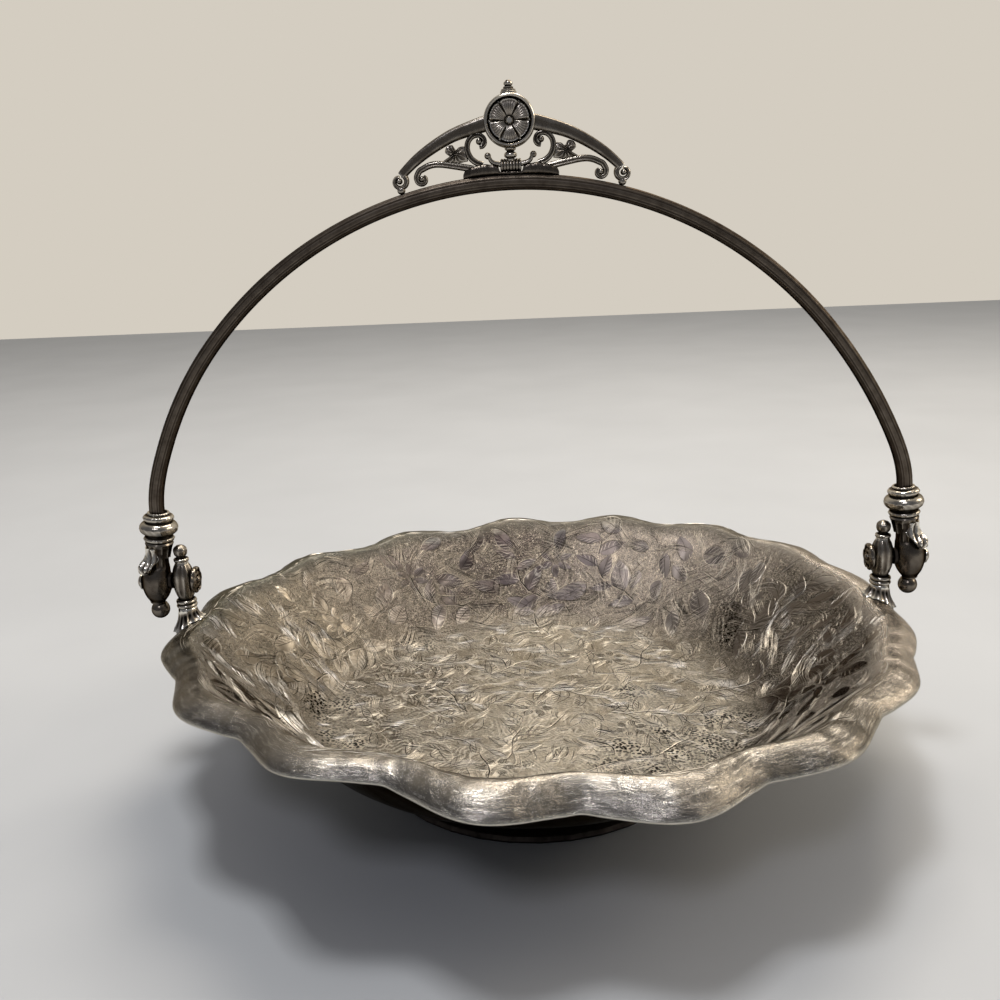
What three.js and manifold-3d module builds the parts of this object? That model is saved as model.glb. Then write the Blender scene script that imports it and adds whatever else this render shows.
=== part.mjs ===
// Silver-plated bride's basket: a ruffled, engraved bowl on a low foot, with a swing handle.
// Millimetres, +Z up, origin on the table under the middle of the bowl.
// +X and -X carry the two handle pivots, -Y faces the viewer.

import * as THREE from 'three';
import { mergeVertices } from 'three/addons/utils/BufferGeometryUtils.js';
import Module from 'manifold-3d';

const wasm = await Module();
wasm.setup();

// Fit between pieces
const GAP = 0.3;
const SIDES = ['right', 'left'];

// Bowl, spun from sheet
const SHEET = 1.2;
const FLOOR_Z = 20;
const FLOOR_R = 76;
const WALL_FOOT = [88, 26];
const WALL_TOP = [113.5, 52.5];
const RIM_CREST = [121.5, 59.6];
const RIM_EDGE = [130.5, 54.4];
const LOBES = 16;
const LOBE_UP_SHARE = 0.1;
const RUFFLE_START_R = 104;
const WARP_START_R = 88;
const LIP_START_R = 118;
const BOWL_SEGMENTS = 96;

// Foot ring under the bowl
const FOOT_R = 60;
const FOOT_TOP_R = 50;
const FOOT_WALL = 1.4;
const FOOT_LAND = 3.2;

// Handle pivots, on one line along X
const PIVOT_Z = 75;
const LUG_X = 128.2;
const LUG_BODY_R = 4.2;
const LUG_INNER_FACE_X = 124.4;
const LUG_OUTER_FACE_X = 131.9;
const LUG_COLLAR_Z = 64.6;
const LUG_NECK_Z = 82.2;
const SKIRT_R = 6.4;
const PIN_R = 1.5;
const PIN_HOLE_R = 1.85;
const PIN_HEAD_R = 4.5;
const PIN_HEAD_T = 1.9;
const CAP_R = 3;
const CAP_T = 1.8;

// Terminal that hangs from each end of the bail
const TERMINAL_X = 136.8;
const TERMINAL_TILT = 5.5;
const LEAF_TURN = 45;
const BULB_OUT = 1.3;
const BULB_R = 5.4;
const TERMINAL_INNER_FACE_X = 133.5;
const TERMINAL_OUTER_FACE_X = 142.9;
const COLLAR_FOOT = 15.8;
const SOCKET_R = 3.15;
const BALL_R = 3.35;
const BALL_DROP = 11.2;

// Bail, a reeded strip bent to an arch
const ARCH_HALF_WIDTH = 141.5;
const ARCH_HEIGHT = 149.2;
const ARCH_CENTRE_Z = 61.2;
const ARCH_JOIN_Z = 126;
const BAIL_END = [134.5, 98.9];
const BAIL_END_BULGE = 0.7;
const BAIL_THICK = 5.2;
const BAIL_WIDE = 4.6;
const ARCH_LEAN = -1.8;
const ARCH_LEAN_RISE = 60;

// Crest on the middle of the bail
const DRUM_Z = 229.5;
const DRUM_R = 8.5;
const DRUM_T = 6.4;
const ROSETTE_R = 6.7;
const ROSETTE_T = 1.1;
const RECESS_R = 7.1;
const CREST_T = 4;
const SCROLL_T = 3;
const HORN_ARC_R = 60;
const HORN_START = [9.2, 228.6];
const HORN_START_LEAN = 15;
const HORN_LENGTH = 30.6;
const HORN_END_WIDTH = 2.8;
const HORN_START_WIDTH = 4.9;
const HORN_EYE = [37, 212.1];
const HORN_VOLUTE_R = 3.2;
const ARM_EYE = [29.45, 212.5];
const ARM_VOLUTE_R = 2.1;
const C_EYE = [10.4, 222.9];
const BARREL_HALF_WIDTH = 3.5;
const BARREL_Z = [214.2, 217.5];
const SADDLE_HALF_WIDTH = 15;

const RAD = Math.PI / 180;

// Finishes
const material = (color, roughness) => new THREE.MeshStandardMaterial({ color, roughness, metalness: 1 });
const bowlSilver = () => material(0xa39888, 0.42);
const castSilver = () => material(0x8a8781, 0.35);
const bailSilver = () => material(0x6f6c68, 0.38);

// Names a piece and gives it its finish
function piece(name, geometry, finish) {
  const mesh = new THREE.Mesh(geometry, finish());
  mesh.name = name;
  return mesh;
}

// Closed geometry as a solid for joining and cutting
function toSolid(geometry) {
  const bare = geometry.clone();
  bare.deleteAttribute('normal');
  bare.deleteAttribute('uv');
  const merged = mergeVertices(bare, 1e-4);
  const vertProperties = new Float32Array(merged.attributes.position.array);
  const triVerts = new Uint32Array(merged.index.array);
  return new wasm.Manifold(new wasm.Mesh({ numProp: 3, vertProperties, triVerts }));
}

// A solid back as geometry
function toGeometry(solid) {
  const mesh = solid.getMesh();
  const geometry = new THREE.BufferGeometry();
  geometry.setAttribute('position', new THREE.BufferAttribute(mesh.vertProperties, 3));
  geometry.setIndex(new THREE.BufferAttribute(mesh.triVerts, 1));
  geometry.computeVertexNormals();
  return geometry;
}

const join = (...parts) => toGeometry(parts.map(toSolid).reduce((sum, next) => sum.add(next)));
const cut = (body, ...tools) => toGeometry(tools.map(toSolid).reduce((left, next) => left.subtract(next), toSolid(body)));

// Turned piece about Z from a profile of [radius, height] that starts and ends on the axis
function turned(profile, segments = 24) {
  const points = profile.map(([r, z]) => new THREE.Vector2(r, z));
  return new THREE.LatheGeometry(points, segments).rotateX(Math.PI / 2);
}

// Half-round bead of a turned profile, from its lower to its upper edge
function bead(profileR, z, beadR, steps = 4) {
  const points = [];
  for (let i = 0; i <= steps; i++) {
    const angle = -90 * RAD + (180 * RAD * i) / steps;
    points.push([profileR + beadR * Math.cos(angle), z + beadR * Math.sin(angle)]);
  }
  return points;
}

// Rod along X
function rodX(radius, x0, x1, segments = 16) {
  const rod = new THREE.CylinderGeometry(radius, radius, x1 - x0, segments);
  return rod.rotateZ(Math.PI / 2).translate((x0 + x1) / 2, 0, 0);
}

// Disc that faces Y, centred on a point of the XZ plane
function discY(radius, depth, [x, z], segments = 20) {
  return new THREE.CylinderGeometry(radius, radius, depth, segments).translate(x, 0, z);
}

// Skin over rings of equal count, closed by a point at the top and one at the bottom
function skin(topPoint, rings, bottomPoint) {
  const count = rings[0].length;
  const points = [topPoint, ...rings.flat(), bottomPoint];
  const at = (ring, i) => 1 + ring * count + (i % count);
  const faces = [];
  for (let i = 0; i < count; i++) {
    faces.push(0, at(0, i), at(0, i + 1));
    for (let ring = 0; ring + 1 < rings.length; ring++) {
      faces.push(at(ring, i), at(ring + 1, i), at(ring + 1, i + 1));
      faces.push(at(ring, i), at(ring + 1, i + 1), at(ring, i + 1));
    }
    faces.push(points.length - 1, at(rings.length - 1, i + 1), at(rings.length - 1, i));
  }
  const geometry = new THREE.BufferGeometry().setFromPoints(points);
  geometry.setIndex(faces);
  geometry.computeVertexNormals();
  return geometry;
}

// Flat band of changing width along a line in the XZ plane, thick in Y
function band(line, widthAt, depth) {
  const outer = [];
  const inner = [];
  line.forEach((point, i) => {
    const before = line[Math.max(i - 1, 0)];
    const after = line[Math.min(i + 1, line.length - 1)];
    const along = after.clone().sub(before).normalize();
    const half = widthAt(i / (line.length - 1)) / 2;
    outer.push(new THREE.Vector2(point.x - along.y * half, point.y + along.x * half));
    inner.push(new THREE.Vector2(point.x + along.y * half, point.y - along.x * half));
  });
  return plate(outer.concat(inner.reverse()), depth);
}

// Flat plate from an outline in the XZ plane, centred in Y
function plate(outline, depth) {
  const geometry = new THREE.ExtrudeGeometry(new THREE.Shape(outline), { depth, bevelEnabled: false });
  return geometry.rotateX(Math.PI / 2).translate(0, depth / 2, 0);
}

// Points of a spiral about an eye, between two angles in degrees
function spiral([x, z], from, to, radiusAt, steps = 28) {
  const points = [];
  for (let i = 0; i <= steps; i++) {
    const angle = from + ((to - from) * i) / steps;
    const radius = radiusAt(angle);
    points.push(new THREE.Vector2(x + radius * Math.cos(angle * RAD), z + radius * Math.sin(angle * RAD)));
  }
  return points;
}

const smooth = t => {
  const s = Math.min(Math.max(t, 0), 1);
  return s * s * (3 - 2 * s);
};

// How far a hand-ruffled lobe stands out; the lobes differ in size and drift from an even spacing
function lobe(angle) {
  const drift = 9.6 + 0.3 * Math.cos(angle) - 6.1 * Math.sin(angle) - 1.9 * Math.sin(2 * angle);
  const size = 3.1 - 0.6 * Math.cos(angle) + 0.6 * Math.sin(angle) - 1.6 * Math.cos(2 * angle);
  return size * Math.cos(LOBES * (angle - drift * RAD));
}

// A rim shaped by hand is not quite round, and not quite level
const outOfRound = angle => 2.6 * Math.cos(angle) + 1.7 * Math.cos(2 * angle) - 1.8 * Math.cos(3 * angle);
const outOfLevel = angle => -1.2 * Math.sin(angle) ** 2 - 2.6 * Math.sin(angle) + 0.9 * Math.sin(2 * angle);

// The lip is bent down at the middle of the front and up on both sides of it
function lipBend(angle) {
  const degrees = Math.atan2(Math.sin(angle), Math.cos(angle)) / RAD;
  const bump = (middle, width) => Math.exp(-(((degrees - middle) / width) ** 2));
  return -3.4 * bump(-79, 23) + 1.4 * bump(-36, 16) + 1.4 * bump(-116, 8);
}

// Middle line of the bowl's sheet, from the floor to the rolled edge
function bowlLine() {
  const flat = new THREE.Vector2(FLOOR_R, FLOOR_Z);
  const foot = new THREE.Vector2(...WALL_FOOT);
  const top = new THREE.Vector2(...WALL_TOP);
  const crest = new THREE.Vector2(...RIM_CREST);
  const edge = new THREE.Vector2(...RIM_EDGE);
  const wall = top.clone().sub(foot);
  const bend = foot.clone().addScaledVector(wall, (FLOOR_Z - foot.y) / wall.y);
  const flare = foot.clone().addScaledVector(wall, (crest.y - foot.y) / wall.y);
  const roll = new THREE.Vector2(edge.x - 3, crest.y);
  const path = new THREE.CurvePath();
  path.add(new THREE.QuadraticBezierCurve(flat, bend, foot));
  path.add(new THREE.LineCurve(foot, top));
  path.add(new THREE.QuadraticBezierCurve(top, flare, crest));
  path.add(new THREE.QuadraticBezierCurve(crest, roll, edge));
  return path;
}

// Stations on the sheet with the direction that points out of its underside
function bowlStations(count) {
  const line = bowlLine();
  const stations = [];
  for (let i = 0; i <= count; i++) {
    const point = line.getPointAt(i / count);
    const tangent = line.getTangentAt(i / count);
    stations.push({ r: point.x, z: point.y, outR: tangent.y, outZ: -tangent.x });
  }
  return stations;
}

// A point of the bowl's skin: a station, an angle and the side of the sheet
function bowlPoint({ r, z, outR, outZ }, angle, side) {
  const ruffle = smooth((r - RUFFLE_START_R) / (RIM_EDGE[0] - RUFFLE_START_R)) * lobe(angle);
  const warp = smooth((r - WARP_START_R) / (RIM_CREST[0] - WARP_START_R));
  const bend = smooth((r - LIP_START_R) / (RIM_EDGE[0] - LIP_START_R)) * lipBend(angle);
  const radius = r + (outR * SHEET * side) / 2 + ruffle + warp * outOfRound(angle);
  const height = z + (outZ * SHEET * side) / 2 + LOBE_UP_SHARE * ruffle + warp * outOfLevel(angle) + bend;
  return new THREE.Vector3(radius * Math.cos(angle), radius * Math.sin(angle), height);
}

function ringOf(station, side) {
  const ring = [];
  for (let i = 0; i < BOWL_SEGMENTS; i++) {
    ring.push(bowlPoint(station, (360 * RAD * i) / BOWL_SEGMENTS, side));
  }
  return ring;
}

function bowl() {
  const upper = bowlStations(10).map(station => ringOf(station, -1));
  const lower = bowlStations(6).reverse().map(station => ringOf(station, 1));
  const inside = new THREE.Vector3(0, 0, FLOOR_Z + SHEET / 2);
  const below = new THREE.Vector3(0, 0, FLOOR_Z - SHEET / 2);
  return skin(inside, [...upper, ...lower], below);
}

// Height of the rim's upper skin over a point, for what is soldered on it
function rimHeight(x, y) {
  const angle = Math.atan2(y, x);
  const radius = Math.hypot(x, y);
  const skinPoints = bowlStations(60).map(station => bowlPoint(station, angle, -1));
  const beyond = skinPoints.findIndex(point => Math.hypot(point.x, point.y) >= radius);
  if (beyond < 1) {
    return skinPoints[skinPoints.length - 1].z;
  }
  return Math.max(skinPoints[beyond].z, skinPoints[beyond - 1].z);
}

// Low spreading foot ring with a flat land to stand on; its inner wall follows the outer cove
function footRing() {
  const top = FLOOR_Z - SHEET / 2 - GAP;
  const land = FOOT_R - FOOT_LAND;
  const profile = [
    [FOOT_TOP_R, top],
    [FOOT_TOP_R - FOOT_WALL, top],
    [FOOT_TOP_R - FOOT_WALL + 0.5, top - 5.2],
    [FOOT_TOP_R - FOOT_WALL + 2.2, top - 10.8],
    [FOOT_TOP_R + 3.6, 4.1],
    [land, 2.2],
    [land, 0],
    [FOOT_R, 0],
    [FOOT_R + 0.8, 1.1],
    [FOOT_R, 2.4],
    [FOOT_TOP_R + 5.2, 5],
    [FOOT_TOP_R + 2.2, top - 10],
    [FOOT_TOP_R + 0.6, top - 5],
    [FOOT_TOP_R, top],
  ];
  return new THREE.LatheGeometry(profile.map(([r, z]) => new THREE.Vector2(r, z)), 36).rotateX(Math.PI / 2);
}

// Flared skirt that stands on the rim; its foot follows the ruffled metal
function lugSkirt(side) {
  const count = 24;
  const turn = side === 'left' ? Math.PI : 0;
  const top = LUG_COLLAR_Z - GAP;
  const ringAt = (radius, drop) => {
    const ring = [];
    for (let i = 0; i < count; i++) {
      const angle = (360 * RAD * i) / count;
      const x = LUG_X + radius * Math.cos(angle);
      const y = radius * Math.sin(angle);
      const flip = Math.cos(turn);
      const seat = rimHeight(flip * x, flip * y) + GAP;
      ring.push(new THREE.Vector3(x, y, top + (seat - top) * drop));
    }
    return ring;
  };
  const rings = [ringAt(3.3, 0), ringAt(3.7, 0.3), ringAt(4.6, 0.62), ringAt(SKIRT_R, 0.9), ringAt(SKIRT_R, 1), ringAt(3.4, 1)];
  const seatZ = rimHeight(Math.cos(turn) * LUG_X, 0) + GAP;
  return skin(new THREE.Vector3(LUG_X, 0, top), rings, new THREE.Vector3(LUG_X, 0, seatZ));
}

// Post of the lug: double ring collar, egg-shaped body with flats for the pivot, short neck
function lugPost() {
  const z = LUG_COLLAR_Z;
  const profile = [
    [0, z],
    ...bead(3, z + 0.8, 0.8, 3),
    ...bead(3, z + 2.4, 0.8, 3),
    [2.7, z + 3.5],
    [3.4, z + 5],
    [LUG_BODY_R - 0.1, PIVOT_Z - 3],
    [LUG_BODY_R, PIVOT_Z],
    [LUG_BODY_R - 0.2, PIVOT_Z + 2.6],
    [3.2, PIVOT_Z + 5.4],
    [2.4, LUG_NECK_Z - 0.6],
    [2.4, LUG_NECK_Z],
    [0, LUG_NECK_Z],
  ];
  const post = turned(profile, 16).translate(LUG_X, 0, 0);
  const hole = rodX(PIN_HOLE_R, 115, 140).translate(0, 0, PIVOT_Z);
  const innerFlat = new THREE.BoxGeometry(4, 12, 12).translate(LUG_INNER_FACE_X - 2, 0, PIVOT_Z);
  const outerFlat = new THREE.BoxGeometry(4, 12, 12).translate(LUG_OUTER_FACE_X + 2, 0, PIVOT_Z);
  return cut(post, hole, innerFlat, outerFlat);
}

// Little urn on top of the lug
function lugFinial() {
  const z = LUG_NECK_Z + GAP;
  const profile = [
    [0, z],
    [2.3, z],
    ...bead(2.3, z + 0.7, 0.6, 3),
    [1.7, z + 1.6],
    [2.1, z + 2.6],
    [2.6, z + 4],
    [2.4, z + 5.2],
    [1.5, z + 6],
    [0, z + 6.3],
  ];
  return turned(profile, 14).translate(LUG_X, 0, 0);
}

// Pivot pin with its round rosette head on the side of the bowl
function pivotPin() {
  const headFace = LUG_INNER_FACE_X - GAP;
  const head = turned([[0, 0], [PIN_HEAD_R, 0], [PIN_HEAD_R, 1], [3.9, PIN_HEAD_T - 0.4], [3.2, PIN_HEAD_T - 0.7],
    [1.5, PIN_HEAD_T - 0.5], [1.1, PIN_HEAD_T], [0, PIN_HEAD_T + 0.2]]);
  const shank = rodX(PIN_R, headFace - 0.5, TERMINAL_OUTER_FACE_X, 16);
  return join(head.rotateY(-Math.PI / 2).translate(headFace, 0, 0), shank).translate(0, 0, PIVOT_Z);
}

// Washer between the lug and the terminal
function pivotWasher() {
  const disc = rodX(CAP_R, LUG_OUTER_FACE_X + GAP, TERMINAL_INNER_FACE_X - GAP);
  return cut(disc, rodX(PIN_HOLE_R, 120, 145)).translate(0, 0, PIVOT_Z);
}

// Domed cap on the outer end of the pin
function pivotCap() {
  const dome = turned([[0, 0], [CAP_R, 0], [CAP_R, 0.6], [2.3, 1.4], [1.2, CAP_T], [0, CAP_T]], 16);
  return dome.rotateY(Math.PI / 2).translate(TERMINAL_OUTER_FACE_X + GAP, 0, PIVOT_Z);
}

// Puts a piece made about the pivot into the terminal's leaning frame
function lean(geometry) {
  return geometry.rotateY(-TERMINAL_TILT * RAD).translate(TERMINAL_X, 0, PIVOT_Z);
}

// Nest of turned rings that holds the end of the bail
function socketCollar() {
  const z = COLLAR_FOOT;
  const profile = [
    [0, z],
    [4.6, z],
    ...bead(4.7, z + 1.1, 0.8, 3),
    [4.6, z + 2.2],
    ...bead(4.5, z + 5, 2.4, 6),
    [4.5, z + 7.6],
    ...bead(4.4, z + 8.8, 1.1),
    [3.9, z + 10.2],
    [3.8, z + 10.9],
    [SOCKET_R, z + 10.9],
    [SOCKET_R, z + 5.6],
    [0, z + 5.6],
  ];
  return lean(turned(profile, 16));
}

// Terminal: tapering shaft over a pear-shaped bulb, flat on both sides of the pivot
function terminal() {
  const shaft = turned([[0, -3], [3, -3], [3.6, 2], [3.7, 6], [4.2, 10], [4.8, COLLAR_FOOT - GAP - 1.4],
    [5.1, COLLAR_FOOT - GAP - 0.5], [4.7, COLLAR_FOOT - GAP], [0, COLLAR_FOOT - GAP]], 16);
  const bulb = turned([[0, -8.6], [2.6, -8.6], [2.9, -7.8], [4.2, -5.6], [5.1, -3], [BULB_R, 0],
    [5.1, 2.6], [4.2, 4.8], [3, 6.4], [0, 7.4]], 16).translate(BULB_OUT, 0, 0);
  const hole = rodX(PIN_HOLE_R, 120, 160).translate(0, 0, PIVOT_Z);
  const innerFlat = new THREE.BoxGeometry(6, 14, 16).translate(TERMINAL_INNER_FACE_X - 3, 0, PIVOT_Z);
  const outerFlat = new THREE.BoxGeometry(6, 14, 8).translate(TERMINAL_OUTER_FACE_X + 3, 0, PIVOT_Z);
  return cut(lean(join(shaft, bulb)), hole, innerFlat, outerFlat);
}

// Cast leaf on the outer front of the shaft, curling out above the pivot; on both ends it faces the front
function acanthusLeaf(side) {
  const turn = (side === 'left' ? LEAF_TURN : -LEAF_TURN) * RAD;
  const stem = [[4.9, 13.4], [4.8, 11.8], [5.2, 9.8], [6.4, 7.8], [7.2, 6]];
  const line = new THREE.SplineCurve(stem.map(([x, z]) => new THREE.Vector2(x, z))).getPoints(10);
  const blade = band(line, t => 1 + 0.4 * Math.sin(Math.PI * t), 5.6);
  const curl = discY(1.25, 4.4, [7.1, 5.5], 14);
  const swept = toSolid(lean(join(blade, curl).rotateZ(turn)));
  const bulbGuard = toSolid(lean(turned([[0, 1], [5.2, 1], [4.6, 5], [4.3, 9], [5, 13.6], [5.2, 16], [0, 16]], 32)));
  return toGeometry(swept.subtract(bulbGuard));
}

// Ball that closes the terminal below
function pendantBall() {
  const neck = -8.6 - GAP;
  const profile = [[0, neck], [2.4, neck], [2.4, neck - 0.3], [2.2, neck - 0.5]];
  for (let angle = 60; angle < 180; angle += 30) {
    profile.push([BALL_R * Math.sin(angle * RAD), BALL_R * Math.cos(angle * RAD) - BALL_DROP]);
  }
  profile.push([0, -BALL_R - BALL_DROP]);
  return lean(turned(profile.reverse(), 16)).translate(0.4, 0, 0);
}

// Line of the bail: an ellipse above, easing into a straighter end at each socket, and bent a little
// to the left by use
function bailLine() {
  const joinHeight = (ARCH_JOIN_Z - ARCH_CENTRE_Z) / ARCH_HEIGHT;
  const joinAngle = Math.asin(joinHeight);
  const joinX = ARCH_HALF_WIDTH * Math.cos(joinAngle);
  const points = [];
  const steps = 14;
  for (let i = -steps; i <= steps; i++) {
    const angle = Math.PI / 2 - ((Math.PI / 2 - joinAngle) * i) / steps;
    const x = ARCH_HALF_WIDTH * Math.cos(angle);
    points.push(new THREE.Vector3(x, 0, ARCH_CENTRE_Z + ARCH_HEIGHT * Math.sin(angle)));
  }
  const [endX, endZ] = BAIL_END;
  const halfway = (ARCH_JOIN_Z + endZ) / 2;
  const halfwayX = (joinX + endX) / 2 + BAIL_END_BULGE;
  const tail = sign => [new THREE.Vector3(sign * halfwayX, 0, halfway), new THREE.Vector3(sign * endX, 0, endZ)];
  const line = [...tail(-1).reverse(), ...points, ...tail(1)];
  line.forEach(point => {
    point.x += ARCH_LEAN * smooth((point.z - endZ) / ARCH_LEAN_RISE);
  });
  return new THREE.CatmullRomCurve3(line, false, 'centripetal');
}

function bail() {
  const section = new THREE.Shape();
  const corners = 12;
  for (let i = 0; i < corners; i++) {
    const angle = (360 * RAD * (i + 0.5)) / corners;
    const squared = v => Math.sign(v) * Math.abs(v) ** 0.75;
    const x = (BAIL_WIDE / 2) * squared(Math.cos(angle));
    const y = (BAIL_THICK / 2) * squared(Math.sin(angle));
    if (i === 0) section.moveTo(x, y);
    else section.lineTo(x, y);
  }
  return new THREE.ExtrudeGeometry(section, { steps: 44, extrudePath: bailLine(), bevelEnabled: false });
}

// Height of the bail's outer face over a distance from the middle
function bailTop(x) {
  const across = x / (ARCH_HALF_WIDTH + BAIL_THICK / 2);
  return ARCH_CENTRE_Z + (ARCH_HEIGHT + BAIL_THICK / 2) * Math.sqrt(1 - across * across);
}

// Plate soldered along the bail, with a low bridge under the barrel
function crestSaddle() {
  const under = [];
  const steps = 12;
  for (let i = 0; i <= steps; i++) {
    const x = -SADDLE_HALF_WIDTH + (2 * SADDLE_HALF_WIDTH * i) / steps;
    under.push([x, bailTop(x) + GAP]);
  }
  const bridge = BARREL_Z[0] - GAP;
  const rightTop = [[SADDLE_HALF_WIDTH, 213.4], [14, 214.1], [12, 214.4], [8, 215.4], [BARREL_HALF_WIDTH + 1, 215.8],
    [BARREL_HALF_WIDTH + GAP, 215.4], [BARREL_HALF_WIDTH + GAP, bridge]];
  const leftTop = rightTop.map(([x, z]) => [-x, z]).reverse();
  return plate([...under, ...rightTop, ...leftTop].map(([x, z]) => new THREE.Vector2(x, z)), CREST_T + 0.6);
}

// Ribbed barrel across the middle of the saddle
function crestBarrel() {
  const middle = (BARREL_Z[0] + BARREL_Z[1]) / 2;
  const half = (BARREL_Z[1] - BARREL_Z[0]) / 2;
  const ribs = 6;
  const profile = [[0, -BARREL_HALF_WIDTH]];
  for (let i = 0; i < ribs; i++) {
    const left = -BARREL_HALF_WIDTH + (2 * BARREL_HALF_WIDTH * i) / ribs;
    profile.push([half * 0.86, left + 0.05], [half, left + 0.35], [half, left + 0.8], [half * 0.86, left + 1.1]);
  }
  profile.push([0, BARREL_HALF_WIDTH]);
  return turned(profile, 8).scale(1.3, 1, 1).rotateX(Math.PI / 2).rotateZ(Math.PI / 2).translate(0, 0, middle);
}

// Ball neck between the barrel and the drum
function crestNeck() {
  const z = BARREL_Z[1] + GAP;
  const top = DRUM_Z - DRUM_R - GAP;
  return turned([[0, z], [1.6, z], [1.5, z + 0.3], [2.1, z + 1.1], [2.1, z + 1.8], [1.5, z + 2.6], [1.6, top], [0, top]], 20);
}

// Drum of the roundel, recessed on both faces for the rosettes
function roundelDrum() {
  const half = DRUM_T / 2;
  const web = half - ROSETTE_T - 0.5;
  const profile = [[0, -web], [RECESS_R, -web], [RECESS_R, -half + 0.2], [RECESS_R + 0.3, -half], [DRUM_R - 0.4, -half],
    [DRUM_R, -half + 0.6], [DRUM_R, half - 0.6], [DRUM_R - 0.4, half], [RECESS_R + 0.3, half], [RECESS_R, half - 0.2],
    [RECESS_R, web], [0, web]];
  return turned(profile, 24).rotateX(Math.PI / 2).translate(0, 0, DRUM_Z);
}

// Six-petalled rosette with a ball in the middle, set in the drum's recess
function rosette(face) {
  const count = 30;
  const ringAt = (radius, height, scallop) => {
    const ring = [];
    for (let i = 0; i < count; i++) {
      const angle = (360 * RAD * i) / count;
      const petal = 1 - scallop * Math.abs(Math.cos(3 * angle)) ** 6;
      ring.push(new THREE.Vector3(radius * petal * Math.cos(angle), radius * petal * Math.sin(angle), height));
    }
    return ring;
  };
  const rings = [ringAt(0.7, 1.5, 0), ringAt(1.25, 1, 0), ringAt(1.4, 0.6, 0), ringAt(5.6, ROSETTE_T, 0.06),
    ringAt(ROSETTE_R, 0.6, 0.1), ringAt(ROSETTE_R, 0, 0.1)];
  const flower = skin(new THREE.Vector3(0, 0, 1.7), rings, new THREE.Vector3(0, 0, 0));
  const seat = DRUM_T / 2 - ROSETTE_T - 0.5 + GAP;
  flower.rotateX(Math.PI / 2).translate(0, -seat, 0);
  return flower.rotateZ(face === 'back' ? Math.PI : 0).translate(0, 0, DRUM_Z);
}

// Stepped finial on top of the drum
function crestFinial() {
  const z = DRUM_Z + DRUM_R + GAP;
  const profile = [[0, z], [2.3, z], [2.4, z + 0.5], [1.5, z + 0.9], [1.4, z + 1.5], [0.7, z + 1.8], [1.1, z + 2.5],
    [1, z + 3.1], [0.5, z + 3.6], [0, z + 3.7]];
  return turned(profile, 14);
}

// Blade of the horn along its arc; a guard shape is a little wider
function hornBlade(extra, depth) {
  const line = [];
  const steps = 10;
  const start = HORN_START_LEAN * RAD;
  for (let i = 0; i <= steps; i++) {
    const turn = start + (HORN_LENGTH / HORN_ARC_R) * (i / steps);
    const x = HORN_START[0] + HORN_ARC_R * (Math.sin(turn) - Math.sin(start));
    const z = HORN_START[1] - HORN_ARC_R * (Math.cos(start) - Math.cos(turn));
    line.push(new THREE.Vector2(x, z));
  }
  return band(line, t => extra + HORN_START_WIDTH + (HORN_END_WIDTH - HORN_START_WIDTH) * t, depth);
}

const drumGuard = () => discY(DRUM_R + GAP, DRUM_T + 1, [0, DRUM_Z], 28);
const hornGuard = () => hornBlade(2 * GAP, CREST_T + 1);

// Thick tapering horn from the drum down to a volute on the bail
function horn() {
  const curl = spiral(HORN_EYE, 130, 470, angle => HORN_VOLUTE_R - 0.55 - 1.3 * smooth((angle - 150) / 330));
  const volute = band(curl, () => 1.1, CREST_T);
  const eye = discY(1.1, CREST_T + 0.6, HORN_EYE, 16);
  const foot = discY(1.2, CREST_T, [HORN_EYE[0] - 0.6, HORN_EYE[1] - HORN_VOLUTE_R + 0.4], 12);
  return cut(join(hornBlade(0, CREST_T), volute, eye, foot), drumGuard());
}

// Slim arm from the saddle out to a small volute beside the horn's end
function scrollArm() {
  const stem = [[14.8, 215.5], [18.5, 216.1], [22.6, 216.9], [26.4, 216.9], [29.2, 215.8]];
  const line = new THREE.SplineCurve(stem.map(([x, z]) => new THREE.Vector2(x, z))).getPoints(12);
  const curl = spiral(ARM_EYE, 75, -255, angle => ARM_VOLUTE_R - 0.4 - 0.75 * smooth((60 - angle) / 300), 24);
  const eye = discY(0.75, SCROLL_T + 0.6, ARM_EYE, 14);
  return join(band(line.slice(0, -1).concat(curl), () => 1, SCROLL_T), eye);
}

// C-scroll beside the drum, wound in to a ball
function cScroll() {
  const radiusAt = angle => 1.6 + 2.05 * Math.exp(-angle / 85) - 0.55 * smooth((angle - 160) / 140);
  const curl = spiral(C_EYE, -84, 290, radiusAt);
  const eye = discY(0.95, SCROLL_T + 0.8, C_EYE, 16);
  return cut(join(band(curl, t => 1.2 - 0.3 * t, SCROLL_T), eye), drumGuard(), hornGuard());
}

// Three-lobed leaf between the C-scroll and the horn
function crestLeaf() {
  const outline = [[15.6, 217], [19, 217.4], [22.4, 218], [20.6, 219.2], [21.2, 221.2], [19.4, 222], [17.9, 220.7],
    [16.4, 221.6], [15.3, 220.4], [15.4, 218.6]];
  const blade = plate(outline.map(([x, z]) => new THREE.Vector2(x, z)), SCROLL_T - 0.4);
  return cut(blade, hornGuard());
}

// Small curl that springs from the side of the barrel
function crestCurl() {
  const stem = [[4.2, 216.6], [5.4, 216.6], [6.4, 217.1], [6.8, 218]];
  const line = new THREE.SplineCurve(stem.map(([x, z]) => new THREE.Vector2(x, z))).getPoints(8);
  const tip = discY(0.75, SCROLL_T - 0.4, [7.1, 218.5], 14);
  return join(band(line, () => 0.7, SCROLL_T - 0.8), tip);
}

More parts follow.
